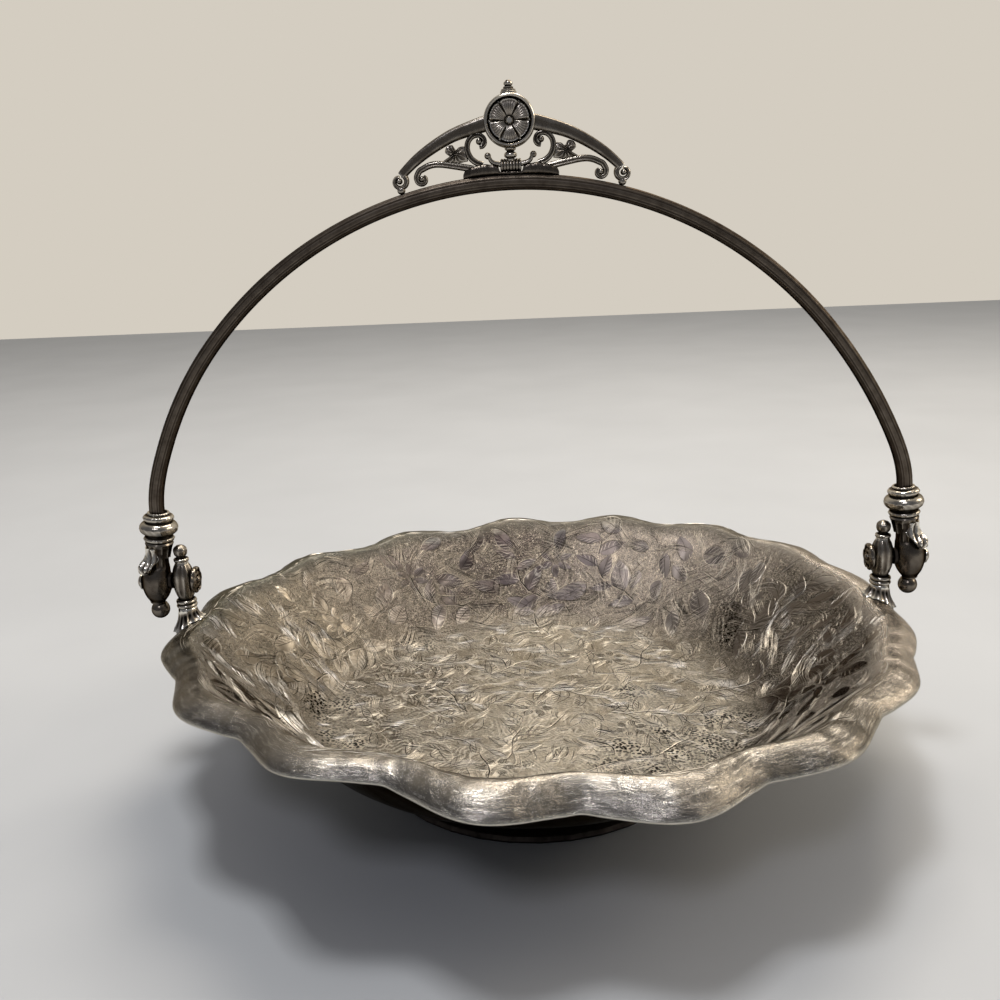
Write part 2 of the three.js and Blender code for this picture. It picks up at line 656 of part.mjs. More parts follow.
// The fittings of both sides are alike, half a turn apart about Z, but for the leaf
function sideGroup(side) {
  const group = new THREE.Group();
  group.rotation.z = side === 'left' ? Math.PI : 0;
  group.add(piece(`${side}_lug_skirt`, lugSkirt(side), castSilver));
  group.add(piece(`${side}_lug_post`, lugPost(), castSilver));
  group.add(piece(`${side}_lug_finial`, lugFinial(), castSilver));
  group.add(piece(`${side}_pivot_pin`, pivotPin(), castSilver));
  group.add(piece(`${side}_pivot_washer`, pivotWasher(), castSilver));
  group.add(piece(`${side}_pivot_cap`, pivotCap(), castSilver));
  group.add(piece(`${side}_socket_collar`, socketCollar(), castSilver));
  group.add(piece(`${side}_terminal`, terminal(), castSilver));
  group.add(piece(`${side}_acanthus_leaf`, acanthusLeaf(side), castSilver));
  group.add(piece(`${side}_pendant_ball`, pendantBall(), castSilver));
  return group;
}

// The two halves of the crest are alike, half a turn apart about Z
function crestSide(side) {
  const group = new THREE.Group();
  group.rotation.z = side === 'left' ? Math.PI : 0;
  group.add(piece(`${side}_horn`, horn(), castSilver));
  group.add(piece(`${side}_scroll_arm`, scrollArm(), castSilver));
  group.add(piece(`${side}_c_scroll`, cScroll(), castSilver));
  group.add(piece(`${side}_crest_leaf`, crestLeaf(), castSilver));
  group.add(piece(`${side}_crest_curl`, crestCurl(), castSilver));
  return group;
}

const basket = new THREE.Group();
basket.add(piece('bowl', bowl(), bowlSilver));
basket.add(piece('foot_ring', footRing(), bowlSilver));
basket.add(piece('bail', bail(), bailSilver));

const crest = new THREE.Group();
crest.position.x = ARCH_LEAN;
crest.add(piece('crest_saddle', crestSaddle(), castSilver));
crest.add(piece('crest_barrel', crestBarrel(), castSilver));
crest.add(piece('crest_neck', crestNeck(), castSilver));
crest.add(piece('roundel_drum', roundelDrum(), castSilver));
crest.add(piece('rosette_front', rosette('front'), castSilver));
crest.add(piece('rosette_back', rosette('back'), castSilver));
crest.add(piece('crest_finial', crestFinial(), castSilver));
basket.add(crest);
for (const side of SIDES) {
  basket.add(sideGroup(side));
  crest.add(crestSide(side));
}

export default basket;
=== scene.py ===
import math

import bpy
import numpy as np
from mathutils import Matrix


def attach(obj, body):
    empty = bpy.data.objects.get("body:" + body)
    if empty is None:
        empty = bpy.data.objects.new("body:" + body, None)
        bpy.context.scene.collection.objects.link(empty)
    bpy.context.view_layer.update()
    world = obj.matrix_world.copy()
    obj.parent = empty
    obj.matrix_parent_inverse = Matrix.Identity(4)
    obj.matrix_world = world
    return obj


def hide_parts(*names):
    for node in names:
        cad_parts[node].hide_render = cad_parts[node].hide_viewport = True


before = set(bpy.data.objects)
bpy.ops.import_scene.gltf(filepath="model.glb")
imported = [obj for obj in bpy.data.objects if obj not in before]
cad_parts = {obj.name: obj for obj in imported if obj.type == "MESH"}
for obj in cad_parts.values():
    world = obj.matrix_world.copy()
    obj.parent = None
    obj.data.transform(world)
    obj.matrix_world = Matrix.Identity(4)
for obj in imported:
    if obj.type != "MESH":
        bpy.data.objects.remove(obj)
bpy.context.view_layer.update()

# Camera
# A hand-held camera a little above the basket, nearly square to the handle,
# with the slight roll of a hand-held picture. 36 mm lens on a 36 mm frame.
CAMERA_PLACE_MM = (-2.0, -347.0, 199.0)
CAMERA_AZIMUTH, CAMERA_ELEVATION, CAMERA_ROLL = (math.radians(d) for d in (1.32, 15.71, 2.4))

back = np.array([math.sin(CAMERA_AZIMUTH) * math.cos(CAMERA_ELEVATION),
                 -math.cos(CAMERA_AZIMUTH) * math.cos(CAMERA_ELEVATION),
                 math.sin(CAMERA_ELEVATION)])
level = np.array([math.cos(CAMERA_AZIMUTH), math.sin(CAMERA_AZIMUTH), 0.0])
upright = np.cross(back, level)
rightward = level * math.cos(CAMERA_ROLL) - upright * math.sin(CAMERA_ROLL)
upward = level * math.sin(CAMERA_ROLL) + upright * math.cos(CAMERA_ROLL)
lens = bpy.data.cameras.new("photo_lens")
lens.lens, lens.sensor_width = 36.0, 36.0
lens.clip_start, lens.clip_end = 0.01, 30.0
camera = bpy.data.objects.new("photo_camera", lens)
turn = Matrix([[*row, 0.0] for row in np.stack([rightward, upward, back], axis=1).tolist()] + [[0, 0, 0, 1]])
camera.matrix_world = Matrix.Translation([c / 1000 for c in CAMERA_PLACE_MM]) @ turn
bpy.context.scene.collection.objects.link(camera)
bpy.context.scene.camera = camera
bpy.context.scene.view_settings.view_transform = "Standard"


# Room
# A plain pale floor, an even pale room, and soft lamps: one broad lamp above and behind,
# one at the right, a strip high in front and a small one overhead, so that turned metal gets clear highlights.
def linear(hex_colour):
    """An sRGB hex colour as the linear RGBA that a socket takes."""
    parts = np.array([int(hex_colour[i:i + 2], 16) for i in (0, 2, 4)]) / 255
    low, high = parts / 12.92, ((parts + 0.055) / 1.055) ** 2.4
    return (*np.where(parts <= 0.04045, low, high).tolist(), 1.0)


def add_node(tree, kind, settings, inputs):
    """Adds a node, sets its properties, and fills each input with a value or a (node, output) link."""
    made = tree.nodes.new(kind)
    for name, value in settings.items():
        setattr(made, name, value)
    for name, value in inputs.items():
        if isinstance(value, tuple) and isinstance(value[0], bpy.types.Node):
            tree.links.new(value[0].outputs[value[1]], made.inputs[name])
        else:
            made.inputs[name].default_value = value
    return made


WALL_PALE, ROOM_DIM = "d4cdc1", "66676b"
FLOOR_PALE, FLOOR_SHADE = "c6c9cd", "babdc1"
WALL_TOWARDS, WALL_FROM, WALL_TO = (0.35, 0.9, 0.25), -0.25, 0.8

# The room is a pale wall behind the basket that turns dim towards the viewer. The camera sees the
# pale wall on every side, and metal shows the room as it is.
world = bpy.data.worlds.new("pale_room")
world.use_nodes = True
bpy.context.scene.world = world
tree = world.node_tree
tree.nodes.clear()
ray = add_node(tree, "ShaderNodeLightPath", {}, {})
towards = add_node(tree, "ShaderNodeTexCoord", {}, {})
facing = add_node(tree, "ShaderNodeVectorMath", {"operation": "DOT_PRODUCT"},
                  {0: (towards, "Generated"), 1: WALL_TOWARDS})
wall_share = add_node(tree, "ShaderNodeMapRange", {}, {"Value": (facing, "Value"), "From Min": WALL_FROM, "From Max": WALL_TO})
shown = add_node(tree, "ShaderNodeMath", {"operation": "MAXIMUM"}, {0: (ray, "Is Camera Ray"), 1: (wall_share, 0)})
room_colour = add_node(tree, "ShaderNodeMix", {"data_type": "RGBA"}, {0: (shown, 0), 6: linear(ROOM_DIM), 7: linear(WALL_PALE)})
room = add_node(tree, "ShaderNodeBackground", {}, {"Color": (room_colour, 2), "Strength": 1.0})
add_node(tree, "ShaderNodeOutputWorld", {}, {"Surface": (room, 0)})

floor_finish = bpy.data.materials.new("pale_backdrop_paper")
floor_finish.use_nodes = True
tree = floor_finish.node_tree
tree.nodes.clear()
place = add_node(tree, "ShaderNodeTexCoord", {}, {})
cloud = add_node(tree, "ShaderNodeTexNoise", {}, {"Vector": (place, "Object"), "Scale": 9.0, "Detail": 3.0})
tint = add_node(tree, "ShaderNodeMix", {"data_type": "RGBA"},
                {0: (cloud, 0), 6: linear(FLOOR_PALE), 7: linear(FLOOR_SHADE)})
paper = add_node(tree, "ShaderNodeBsdfPrincipled", {},
                 {"Base Color": (tint, 2), "Roughness": 0.85, "Specular IOR Level": 0.2})
add_node(tree, "ShaderNodeOutputMaterial", {}, {"Surface": (paper, 0)})

FLOOR_HALF, FLOOR_FRONT, FLOOR_BACK = 4.0, -2.0, 1.72
corners = [(-FLOOR_HALF, FLOOR_FRONT, 0), (FLOOR_HALF, FLOOR_FRONT, 0), (FLOOR_HALF, FLOOR_BACK, 0), (-FLOOR_HALF, FLOOR_BACK, 0)]
floor_mesh = bpy.data.meshes.new("floor")
floor_mesh.from_pydata(corners, [], [(0, 1, 2, 3)])
floor_mesh.materials.append(floor_finish)
floor = bpy.data.objects.new("floor", floor_mesh)
bpy.context.scene.collection.objects.link(floor)

LAMPS = {  # name: place and target in metres, size, power in watts, colour
    "broad_top": ((0.25, 0.55, 1.3), (0, 0, 0.05), 0.7, 11.0, "fff4e4"),
    "right_window": ((1.3, 0.1, 0.8), (0, 0, 0.05), 0.6, 5.5, "fff1dc"),
    "front_strip": ((-0.25, -1.1, 1.2), (0, 0, 0.1), 0.25, 3.0, "f6f6ff"),
    "small_top": ((-0.15, -0.12, 1.4), (0, 0, 0.05), 0.26, 6.5, "ffffff"),
}
for name, (spot, target, size, power, colour) in LAMPS.items():
    light = bpy.data.lights.new(name, "AREA")
    light.size, light.energy, light.color = size, power, linear(colour)[:3]
    lamp = bpy.data.objects.new(name, light)
    aim = Matrix.Translation(spot).to_translation() - Matrix.Translation(target).to_translation()
    lamp.matrix_world = Matrix.Translation(spot) @ aim.to_track_quat("Z", "Y").to_matrix().to_4x4()
    bpy.context.scene.collection.objects.link(lamp)


# Dish
# Spun from one sheet of silver-plated white metal: a flat floor, a sloping wall, and a rim
# that rolls over and is ruffled by hand into sixteen lobes. Its inside is engraved all over.
SHEET = 1.2
FLOOR_Z, FLOOR_R = 20.0, 76.0
WALL_FOOT, WALL_TOP = np.array([88.0, 26.0]), np.array([113.5, 52.5])
RIM_CREST, RIM_EDGE = np.array([121.5, 59.6]), np.array([130.5, 54.4])
LOBES, LOBE_UP_SHARE, RUFFLE_START_R, WARP_START_R = 16, 0.1, 104.0, 88.0
PINCH_IN, PINCH_UP, PINCH_WIDE, PINCH_START_R = 0.5, 0.3, 0.42, 117.0
LIP_START_R = 118.0
LIP_BENDS = ((-3.4, -79, 23), (1.4, -36, 16), (1.4, -116, 8))  # height, middle and width in degrees
LIP_INSET = 0.85  # keeps the rounded edge inside the plain solid
RING_COUNT = 146


def eased(t):
    """0 below 0, 1 above 1, and 3t^2 - 2t^3 between."""
    t = np.clip(t, 0, 1)
    return t * t * (3 - 2 * t)


def bezier(start, control, end, count=60):
    """Points of a quadratic Bezier curve, its first point left out."""
    t = np.linspace(0, 1, count + 1)[1:, None]
    return (1 - t) ** 2 * start + 2 * t * (1 - t) * control + t ** 2 * end


wall = WALL_TOP - WALL_FOOT
wall_bend = WALL_FOOT + wall * (FLOOR_Z - WALL_FOOT[1]) / wall[1]
wall_flare = WALL_FOOT + wall * (RIM_CREST[1] - WALL_FOOT[1]) / wall[1]
middle = np.concatenate([
    np.stack([np.linspace(0, FLOOR_R, 80), np.full(80, FLOOR_Z)], axis=1),
    bezier(np.array([FLOOR_R, FLOOR_Z]), wall_bend, WALL_FOOT),
    WALL_FOOT + wall * np.linspace(0, 1, 40)[1:, None],
    bezier(WALL_TOP, wall_flare, RIM_CREST),
    bezier(RIM_CREST, np.array([RIM_EDGE[0] - 3, RIM_CREST[1]]), RIM_EDGE),
])
line_s = np.concatenate([[0], np.cumsum(np.hypot(*np.diff(middle, axis=0).T))])
line_up = np.stack([-np.gradient(middle[:, 1], line_s), np.gradient(middle[:, 0], line_s)], axis=1)
SHEET_LENGTH = line_s[-1] - LIP_INSET
CREST_S = line_s[np.argmax(middle[:, 1])]


def on_dish(x, y, lift):
    """Where a point of the flat sheet lies once the dish is raised. x and y are millimetres from the
    middle of the flat sheet: their distance becomes the length along the dish's profile, and their
    angle stays. lift is the height over the upper skin. The rim adds its lobes, a cosine of 16 turns
    with a narrow pinch at each neck, the slow warp of work done by hand, and the bends of the lip at
    the front, bell curves of the angle."""
    s, a = np.hypot(x, y), np.arctan2(y, x)
    r, z = np.interp(s, line_s, middle[:, 0]), np.interp(s, line_s, middle[:, 1])
    up_r, up_z = np.interp(s, line_s, line_up[:, 0]), np.interp(s, line_s, line_up[:, 1])
    drift = np.radians(9.6 + 0.3 * np.cos(a) - 6.1 * np.sin(a) - 1.9 * np.sin(2 * a))
    size = 3.1 - 0.6 * np.cos(a) + 0.6 * np.sin(a) - 1.6 * np.cos(2 * a)
    phase = LOBES * (a - drift)
    ruffle = eased((r - RUFFLE_START_R) / (RIM_EDGE[0] - RUFFLE_START_R)) * size * np.cos(phase)
    off_neck = np.arccos(np.clip(-np.cos(phase), -1, 1))
    pinch = np.exp(-(off_neck / PINCH_WIDE) ** 2) * eased((r - PINCH_START_R) / (RIM_EDGE[0] - PINCH_START_R))
    warp = eased((r - WARP_START_R) / (RIM_CREST[0] - WARP_START_R))
    out_of_round = 2.6 * np.cos(a) + 1.7 * np.cos(2 * a) - 1.8 * np.cos(3 * a)
    out_of_level = -1.2 * np.sin(a) ** 2 - 2.6 * np.sin(a) + 0.9 * np.sin(2 * a)
    bend = sum(high * np.exp(-((np.degrees(a) - at) / wide) ** 2) for high, at, wide in LIP_BENDS)
    out_of_level = out_of_level * warp + bend * eased((r - LIP_START_R) / (RIM_EDGE[0] - LIP_START_R))
    radius = r + up_r * (SHEET / 2 + lift) + ruffle + warp * out_of_round - PINCH_IN * pinch
    height = z + up_z * (SHEET / 2 + lift) + LOBE_UP_SHARE * ruffle + out_of_level + PINCH_UP * pinch
    return np.stack([radius * np.cos(a), radius * np.sin(a), height], axis=-1)


def ripple(x, y, wavelength, seed, waves=14):
    """A smooth uneven field from -1 to 1: the mean of plane waves of one length in seeded directions."""
    draw = np.random.default_rng(seed)
    heading, phase = draw.uniform(0, 2 * math.pi, waves), draw.uniform(0, 2 * math.pi, waves)
    step = 2 * math.pi / (wavelength * draw.uniform(0.75, 1.35, waves))
    total = sum(np.sin(k * (x * math.cos(h) + y * math.sin(h)) + p) for k, h, p in zip(step, heading, phase))
    return total / math.sqrt(waves / 2) / 1.6


def flow(x, y):
    """Heading in radians of the engraver's scrolls at a place on the sheet: two slow swirls."""
    return 0.6 + 2.0 * ripple(x, y, 85, 21) + 1.2 * ripple(x, y, 38, 22)


def spread_out(count, inner, outer, jitter):
    """Places spread evenly over a ring of the sheet: each lies a golden angle on from the last, at a
    distance that grows as the square root of its number, and is then moved a little at random."""
    n = np.arange(count) + 0.5
    s, a = np.sqrt(inner ** 2 + (outer ** 2 - inner ** 2) * n / count), n * math.pi * (3 - math.sqrt(5))
    return np.stack([s * np.cos(a), s * np.sin(a)], axis=1) + draw.uniform(-jitter, jitter, (count, 2))


draw = np.random.default_rng(11)
STROKE_POINTS = 9


def scroll_lines(place, heading, length, turn, sway, points=STROKE_POINTS):
    """Lines of (count, points, 2): each starts at its place and runs its length while its heading turns
    evenly by turn in all and sways by sway to and fro once."""
    t = np.linspace(0, 1, points)[None, :]
    angle = heading[:, None] + turn[:, None] * t + sway[:, None] * np.sin(2 * math.pi * t)
    step = length[:, None] / (points - 1)
    x = place[:, :1] + np.cumsum(step * np.cos(angle), axis=1) - step * np.cos(angle)
    y = place[:, 1:] + np.cumsum(step * np.sin(angle), axis=1) - step * np.sin(angle)
    return np.stack([x, y], axis=-1), angle


# Sprays: S-shaped stems that climb the wall and wind over the floor, with leaves by turns on each side
WALL_SPRAYS, FLOOR_SPRAYS = 13, 12
a = 2 * math.pi * (np.arange(WALL_SPRAYS) + draw.uniform(-0.25, 0.25, WALL_SPRAYS)) / WALL_SPRAYS
hand = np.where(draw.uniform(size=WALL_SPRAYS) > 0.35, 1, -1)
wall_start = (86 + draw.uniform(-4, 4, WALL_SPRAYS))[:, None] * np.stack([np.cos(a), np.sin(a)], axis=1)
wall_stems, wall_angle = scroll_lines(wall_start, a + hand * np.radians(draw.uniform(25, 55, WALL_SPRAYS)),
                                      draw.uniform(46, 58, WALL_SPRAYS), hand * 0.5, hand * 0.7)
floor_start = spread_out(FLOOR_SPRAYS, 8, 66, 5)
hand = np.where(draw.uniform(size=FLOOR_SPRAYS) > 0.5, 1, -1)
floor_stems, floor_angle = scroll_lines(floor_start, flow(*floor_start.T), draw.uniform(28, 40, FLOOR_SPRAYS), hand * 1.6, hand * 0.6)
leaf_groups = []
for stems, angle, size, share in ((wall_stems, wall_angle, 15.5, 0.27), (floor_stems, floor_angle, 12.0, 0.25)):
    for i, side in zip((1, 2, 3, 4, 5, 6, 7), (1, -1, 1, -1, 1, -1, 1)):
        count = len(stems)
        length = size * draw.uniform(0.75, 1.2, count)
        leaf_groups.append(np.stack([
            stems[:, i, 0], stems[:, i, 1], angle[:, i] + side * np.radians(draw.uniform(28, 58, count)),
            length, length * share * draw.uniform(0.75, 1.2, count), side * draw.uniform(0.1, 0.5, count)], axis=1))
    leaf_groups.append(np.stack([stems[:, -1, 0], stems[:, -1, 1], angle[:, -1], np.full(count, size * 1.1),
                                 np.full(count, size * share), draw.uniform(-0.3, 0.3, count)], axis=1))

# Single leaves fill the ground that the sprays leave free
for count, inner, outer, size, share in ((150, 4, 78, 11.5, 0.26), (170, 82, 138, 15.0, 0.28)):
    place = spread_out(count, inner, outer, 4)
    taken = np.concatenate(leaf_groups)
    mid = taken[:, :2] + 0.5 * taken[:, 3:4] * np.stack([np.cos(taken[:, 2]), np.sin(taken[:, 2])], axis=1)
    clear = np.hypot(place[:, None, 0] - mid[None, :, 0], place[:, None, 1] - mid[None, :, 1]).min(axis=1) > 0.62 * size
    place = place[clear]
    count = len(place)
    heading = flow(*place.T) + draw.choice([0, math.pi], count) + draw.uniform(-0.5, 0.5, count)
    length = size * draw.uniform(0.7, 1.25, count)
    start = place - 0.5 * length[:, None] * np.stack([np.cos(heading), np.sin(heading)], axis=1)
    leaf_groups.append(np.stack([start[:, 0], start[:, 1], heading, length, length * share * draw.uniform(0.75, 1.2, count),
                                 draw.uniform(-0.5, 0.5, count)], axis=1))
leaves = np.concatenate(leaf_groups)

# Six- and seven-petalled flowers: place on the sheet, first petal's angle, petals and reach
FLOWERS = np.array([[95, 46, 0.3, 7, 11.0], [-88, 53, 0.1, 6, 9.5], [14, 112, 0.4, 6, 10.0], [-60, 96, 0.0, 6, 9.5], [104, -36, 0.2, 6, 10.0],
                    [-98, -50, 0.6, 7, 10.5], [-30, -104, 0.3, 6, 10.0], [52, -96, 0.1, 6, 9.0], [32, 38, 0.5, 6, 7.5],
                    [-44, 12, 0.2, 6, 7.5], [0, -4, 0.0, 6, 8.0], [34, -22, 0.4, 6, 7.0], [-14, -46, 0.1, 6, 7.5]])
petal_rows = [[x + 1.6 * math.cos(p), y + 1.6 * math.sin(p), p, reach - 1.6, reach * 0.21, 0.0]
              for x, y, first, count, reach in FLOWERS
              for p in first + 2 * math.pi * np.arange(int(count)) / count]
petals = np.array(petal_rows)
leaf_mid = leaves[:, :2] + 0.5 * leaves[:, 3:4] * np.stack([np.cos(leaves[:, 2]), np.sin(leaves[:, 2])], axis=1)
off_flowers = np.hypot(leaf_mid[:, None, 0] - FLOWERS[None, :, 0], leaf_mid[:, None, 1] - FLOWERS[None, :, 1])
leaves = leaves[(off_flowers > FLOWERS[None, :, 4] * 1.05).all(axis=1) & (np.hypot(*leaf_mid.T) < CREST_S - 3)]
shapes = np.concatenate([leaves, petals])
shape_tilt = draw.uniform(-0.13, 0.13, len(shapes)) * (shapes[:, 4] > 2.3)


def pillows(x, y):
    """Height and depth inside the leaves. A leaf's midrib is v = bend * u^2 / length, and its half width
    at u goes as the sine of pi * (u / length)^0.8. Inside, 1 - across^2 runs from 0 at the outline to 1
    on the midrib, and the leaf is tilted about its midrib, so each catches the light its own way."""
    raised, inner = np.zeros_like(x), np.zeros_like(x)
    for (cx, cy, heading, length, half, bend_by), tilt in zip(shapes, shape_tilt):
        near = np.flatnonzero((x - cx) ** 2 + (y - cy) ** 2 < (length * 1.3) ** 2)
        dx, dy = x[near] - cx, y[near] - cy
        u = dx * math.cos(heading) + dy * math.sin(heading)
        v = dy * math.cos(heading) - dx * math.sin(heading)
        t = np.clip(u / length, 0, 1)
        width = half * np.sin(math.pi * t ** 0.8) + 1e-6
        across = (v - bend_by * u * u / length) / width
        depth = np.where((u > 0) & (u < length) & (width > 0.3), np.clip(1 - across ** 2, 0, 1), 0)
        depth *= np.minimum(1, width / half * 1.6)
        fresh = depth > inner[near]
        raised[near] = np.where(fresh, 0.14 * eased(1.4 * depth) + tilt * across * eased(depth / 0.5), raised[near])
        inner[near] = np.maximum(inner[near], depth)
    return raised, inner


DENT_COARSE, DENT_FINE, DENT_RIM = 0.3, 0.13, 0.1
RELIEF_AT = (-180, -150, -115, -65, -20, 20, 60, 120, 180)  # degrees round the dish
RELIEF_SHARE = (1.35, 0.4, 0.2, 0.2, 0.3, 0.6, 0.9, 1.15, 1.35)  # strength of the wall's relief there


def wall_share(x, y):
    """Strength of the work: 1 on the floor, and on the wall what the table says for its angle."""
    around = np.interp(np.degrees(np.arctan2(y, x)), RELIEF_AT, RELIEF_SHARE)
    return 1 + (around - 1) * eased((np.hypot(x, y) - 74) / 14)


def relief(x, y):
    """Height of the worked surface over the plain sheet, in millimetres: leaves stand up like pillows,
    and the metal between is uneven from chasing. The floor and the front wall are flatter."""
    x, y = np.asarray(x, float).ravel(), np.asarray(y, float).ravel()
    s = np.hypot(x, y)
    uneven = DENT_COARSE * ripple(x, y, 17, 3) + DENT_FINE * ripple(x, y, 7, 4)
    flat = 0.3 + 0.7 * eased((s - 74) / 14)
    engraved = 1 - eased((s - CREST_S + 6) / 6)
    raised, inner = pillows(x, y)
    on_rim = DENT_RIM * ripple(x, y, 9, 6) * (1 - engraved)
    worked = uneven * flat * (0.35 + 0.65 * engraved) + raised * engraved * (0.15 + 0.85 * eased((s - 74) / 14))
    return worked * wall_share(x, y) + on_rim - 0.1, inner * engraved


def new_piece(name, verts_mm, faces, finish, body, nodes, sharp_deg=38.0):
    """A mesh object at the origin from millimetre points and faces, smooth but for sharp edges."""
    mesh = bpy.data.meshes.new(name)
    mesh.from_pydata((np.asarray(verts_mm) / 1000).tolist(), [], faces)
    mesh.polygons.foreach_set("use_smooth", np.ones(len(mesh.polygons), bool))
    mesh.set_sharp_from_angle(angle=math.radians(sharp_deg))
    mesh.materials.append(finish)
    made = bpy.data.objects.new(name, mesh)
    bpy.context.scene.collection.objects.link(made)
    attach(made, body)
    if nodes:
        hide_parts(*nodes)
    return made


def write_attribute(piece, name, values):
    """Stores one number for each vertex for the material to read."""
    made = piece.data.attributes.new(name, "FLOAT", "POINT")
    made.data.foreach_set("value", np.asarray(values, np.float32).ravel())


# Upper skin: ring k has 6k points, so its triangles are all of one size
ring_of = np.concatenate([[0], np.repeat(np.arange(1, RING_COUNT + 1), 6 * np.arange(1, RING_COUNT + 1))])
ring_start = np.concatenate([[0], 1 + 3 * np.arange(RING_COUNT) * (np.arange(RING_COUNT) + 1)])
step_in_ring = np.arange(len(ring_of)) - ring_start[ring_of]
angle = 2 * math.pi * step_in_ring / np.maximum(6 * ring_of, 1)
s = SHEET_LENGTH * ring_of / RING_COUNT
flat_x, flat_y = s * np.cos(angle), s * np.sin(angle)
rise, leaf_mask = relief(flat_x, flat_y)
edge_fade = 1 - eased((s - SHEET_LENGTH + 5) / 5)
upper = on_dish(flat_x, flat_y, rise * edge_fade)

k = np.repeat(np.arange(1, RING_COUNT + 1), 6 * np.arange(1, RING_COUNT + 1))
j = np.concatenate([np.arange(6 * n) for n in range(1, RING_COUNT + 1)])
sixth, i = j // k, j % k
outer_a = ring_start[k] + j
outer_b = ring_start[k] + (j + 1) % (6 * k)
inner_count = np.maximum(6 * (k - 1), 1)
inner_a = ring_start[k - 1] + (sixth * (k - 1) + i) % inner_count
inner_b = ring_start[k - 1] + (sixth * (k - 1) + i + 1) % inner_count
upright_faces = np.stack([outer_a, outer_b, inner_a], axis=1)
between = i < k - 1
hanging_faces = np.stack([inner_a, outer_b, inner_b], axis=1)[between]

# Rounded lip and the plain underside, rings of one count down to a point under the middle
around = 6 * RING_COUNT
edge_angle = 2 * math.pi * np.arange(around) / around
lip_turn = np.radians(np.array([35, 70, 110, 145]))
edge_up = np.array([np.interp(SHEET_LENGTH, line_s, line_up[:, n]) for n in (0, 1)])
edge_along = np.array([edge_up[1], -edge_up[0]])
edge_middle = (on_dish(SHEET_LENGTH * np.cos(edge_angle), SHEET_LENGTH * np.sin(edge_angle), 0.0)
               + on_dish(SHEET_LENGTH * np.cos(edge_angle), SHEET_LENGTH * np.sin(edge_angle), -SHEET)) / 2
lip_rings = []
for t in lip_turn:
    push = SHEET / 2 * (edge_up * math.cos(t) + edge_along * math.sin(t))
    lip_rings.append(edge_middle + np.stack([push[0] * np.cos(edge_angle), push[0] * np.sin(edge_angle),
                                             np.full(around, push[1])], axis=1))
under_s = np.concatenate([np.linspace(SHEET_LENGTH, 74, 20), [60, 48, 34, 18]])
under_rings = [on_dish(v * np.cos(edge_angle), v * np.sin(edge_angle), -SHEET) for v in under_s]
lower = np.concatenate([*lip_rings, *under_rings])
first = len(upper)
rows = np.concatenate([ring_start[RING_COUNT] + np.arange(around), first + np.arange(len(lower))]).reshape(-1, around)
quads = np.stack([rows[:-1], rows[1:], np.roll(rows[1:], -1, axis=1), np.roll(rows[:-1], -1, axis=1)], axis=-1)
centre_index = first + len(lower)
fan = np.stack([rows[-1], np.full(around, centre_index), np.roll(rows[-1], -1)], axis=1)
centre_point = on_dish(np.zeros(1), np.zeros(1), np.full(1, -SHEET))
dish_points = np.concatenate([upper, lower, centre_point])
dish_faces = [*upright_faces.tolist(), *hanging_faces.tolist(), *quads.reshape(-1, 4).tolist(), *fan.tolist()]

# Where the stipple is black with old tarnish: place on the sheet and reach
SOOT_SPOTS = ((58, -38, 27), (38, -58, 18), (30, -42, 14), (72, -20, 15), (-78, 0, 15), (-70, -24, 12),
              (84, 44, 12), (-14, -62, 9), (-50, 58, 10), (40, 8, 9))
soot = np.max([eased(1.35 - np.hypot(flat_x - x, flat_y - y) / reach) for x, y, reach in SOOT_SPOTS], axis=0)
soot = np.clip(soot * (0.75 + 0.6 * ripple(flat_x, flat_y, 14, 31)) + 0.25 * eased(ripple(flat_x, flat_y, 30, 32)), 0, 1)

# Satin silver plate, spun and engraved, with a century of tarnish: champagne on the floor where
# cloth kept it clean, brown-grey on the wall, a soft bloom at the back and soot in the stipple.
SATIN_CLEAN, SATIN_SOOT = "e8decb", "1e1a15"
satin = bpy.data.materials.new("engraved_satin_silver_plate")
satin.use_nodes = True
tree = satin.node_tree
tree.nodes.clear()
place = add_node(tree, "ShaderNodeTexCoord", {}, {})
spread = add_node(tree, "ShaderNodeSeparateXYZ", {}, {0: (place, "Object")})
stored = {name: add_node(tree, "ShaderNodeAttribute", {"attribute_name": name}, {})
          for name in ("sheet_mm", "leaf", "soot", "underside")}
noises = {}
for name, scale, detail, rough, distortion in (
        ("cloudy", 34.0, 4.0, 0.6, 0.0), ("patchy", 95.0, 5.0, 0.65, 0.0),
        ("tooled", 860.0, 3.0, 0.75, 2.2), ("grain", 1700.0, 2.0, 0.6, 0.0), ("swelling", 120.0, 1.0, 0.4, 0.0)):
    noises[name] = add_node(tree, "ShaderNodeTexNoise", {}, {
        "Vector": (place, "Object"), "Scale": scale, "Detail": detail, "Roughness": rough,
        "Distortion": distortion})
cells = add_node(tree, "ShaderNodeTexVoronoi", {}, {"Vector": (place, "Object"), "Scale": 850.0})

# Fine parallel lines cut side by side that flow and swirl, in two sets that take turns by patches
hatch_sets = [
    add_node(tree, "ShaderNodeTexWave", {"bands_direction": direction}, {
        "Vector": (place, "Object"), "Scale": scale, "Distortion": swirl, "Detail": 1.5, "Detail Scale": 0.36})
    for direction, scale, swirl in (("DIAGONAL", 185.0, 55.0), ("Y", 225.0, 42.0))]
by_patch = add_node(tree, "ShaderNodeMapRange", {}, {"Value": (noises["cloudy"], 0), "From Min": 0.47, "From Max": 0.51})
hatched_by = add_node(tree, "ShaderNodeMix", {}, {
    0: (by_patch, 0), 2: (hatch_sets[0], "Fac"), 3: (hatch_sets[1], "Fac")})

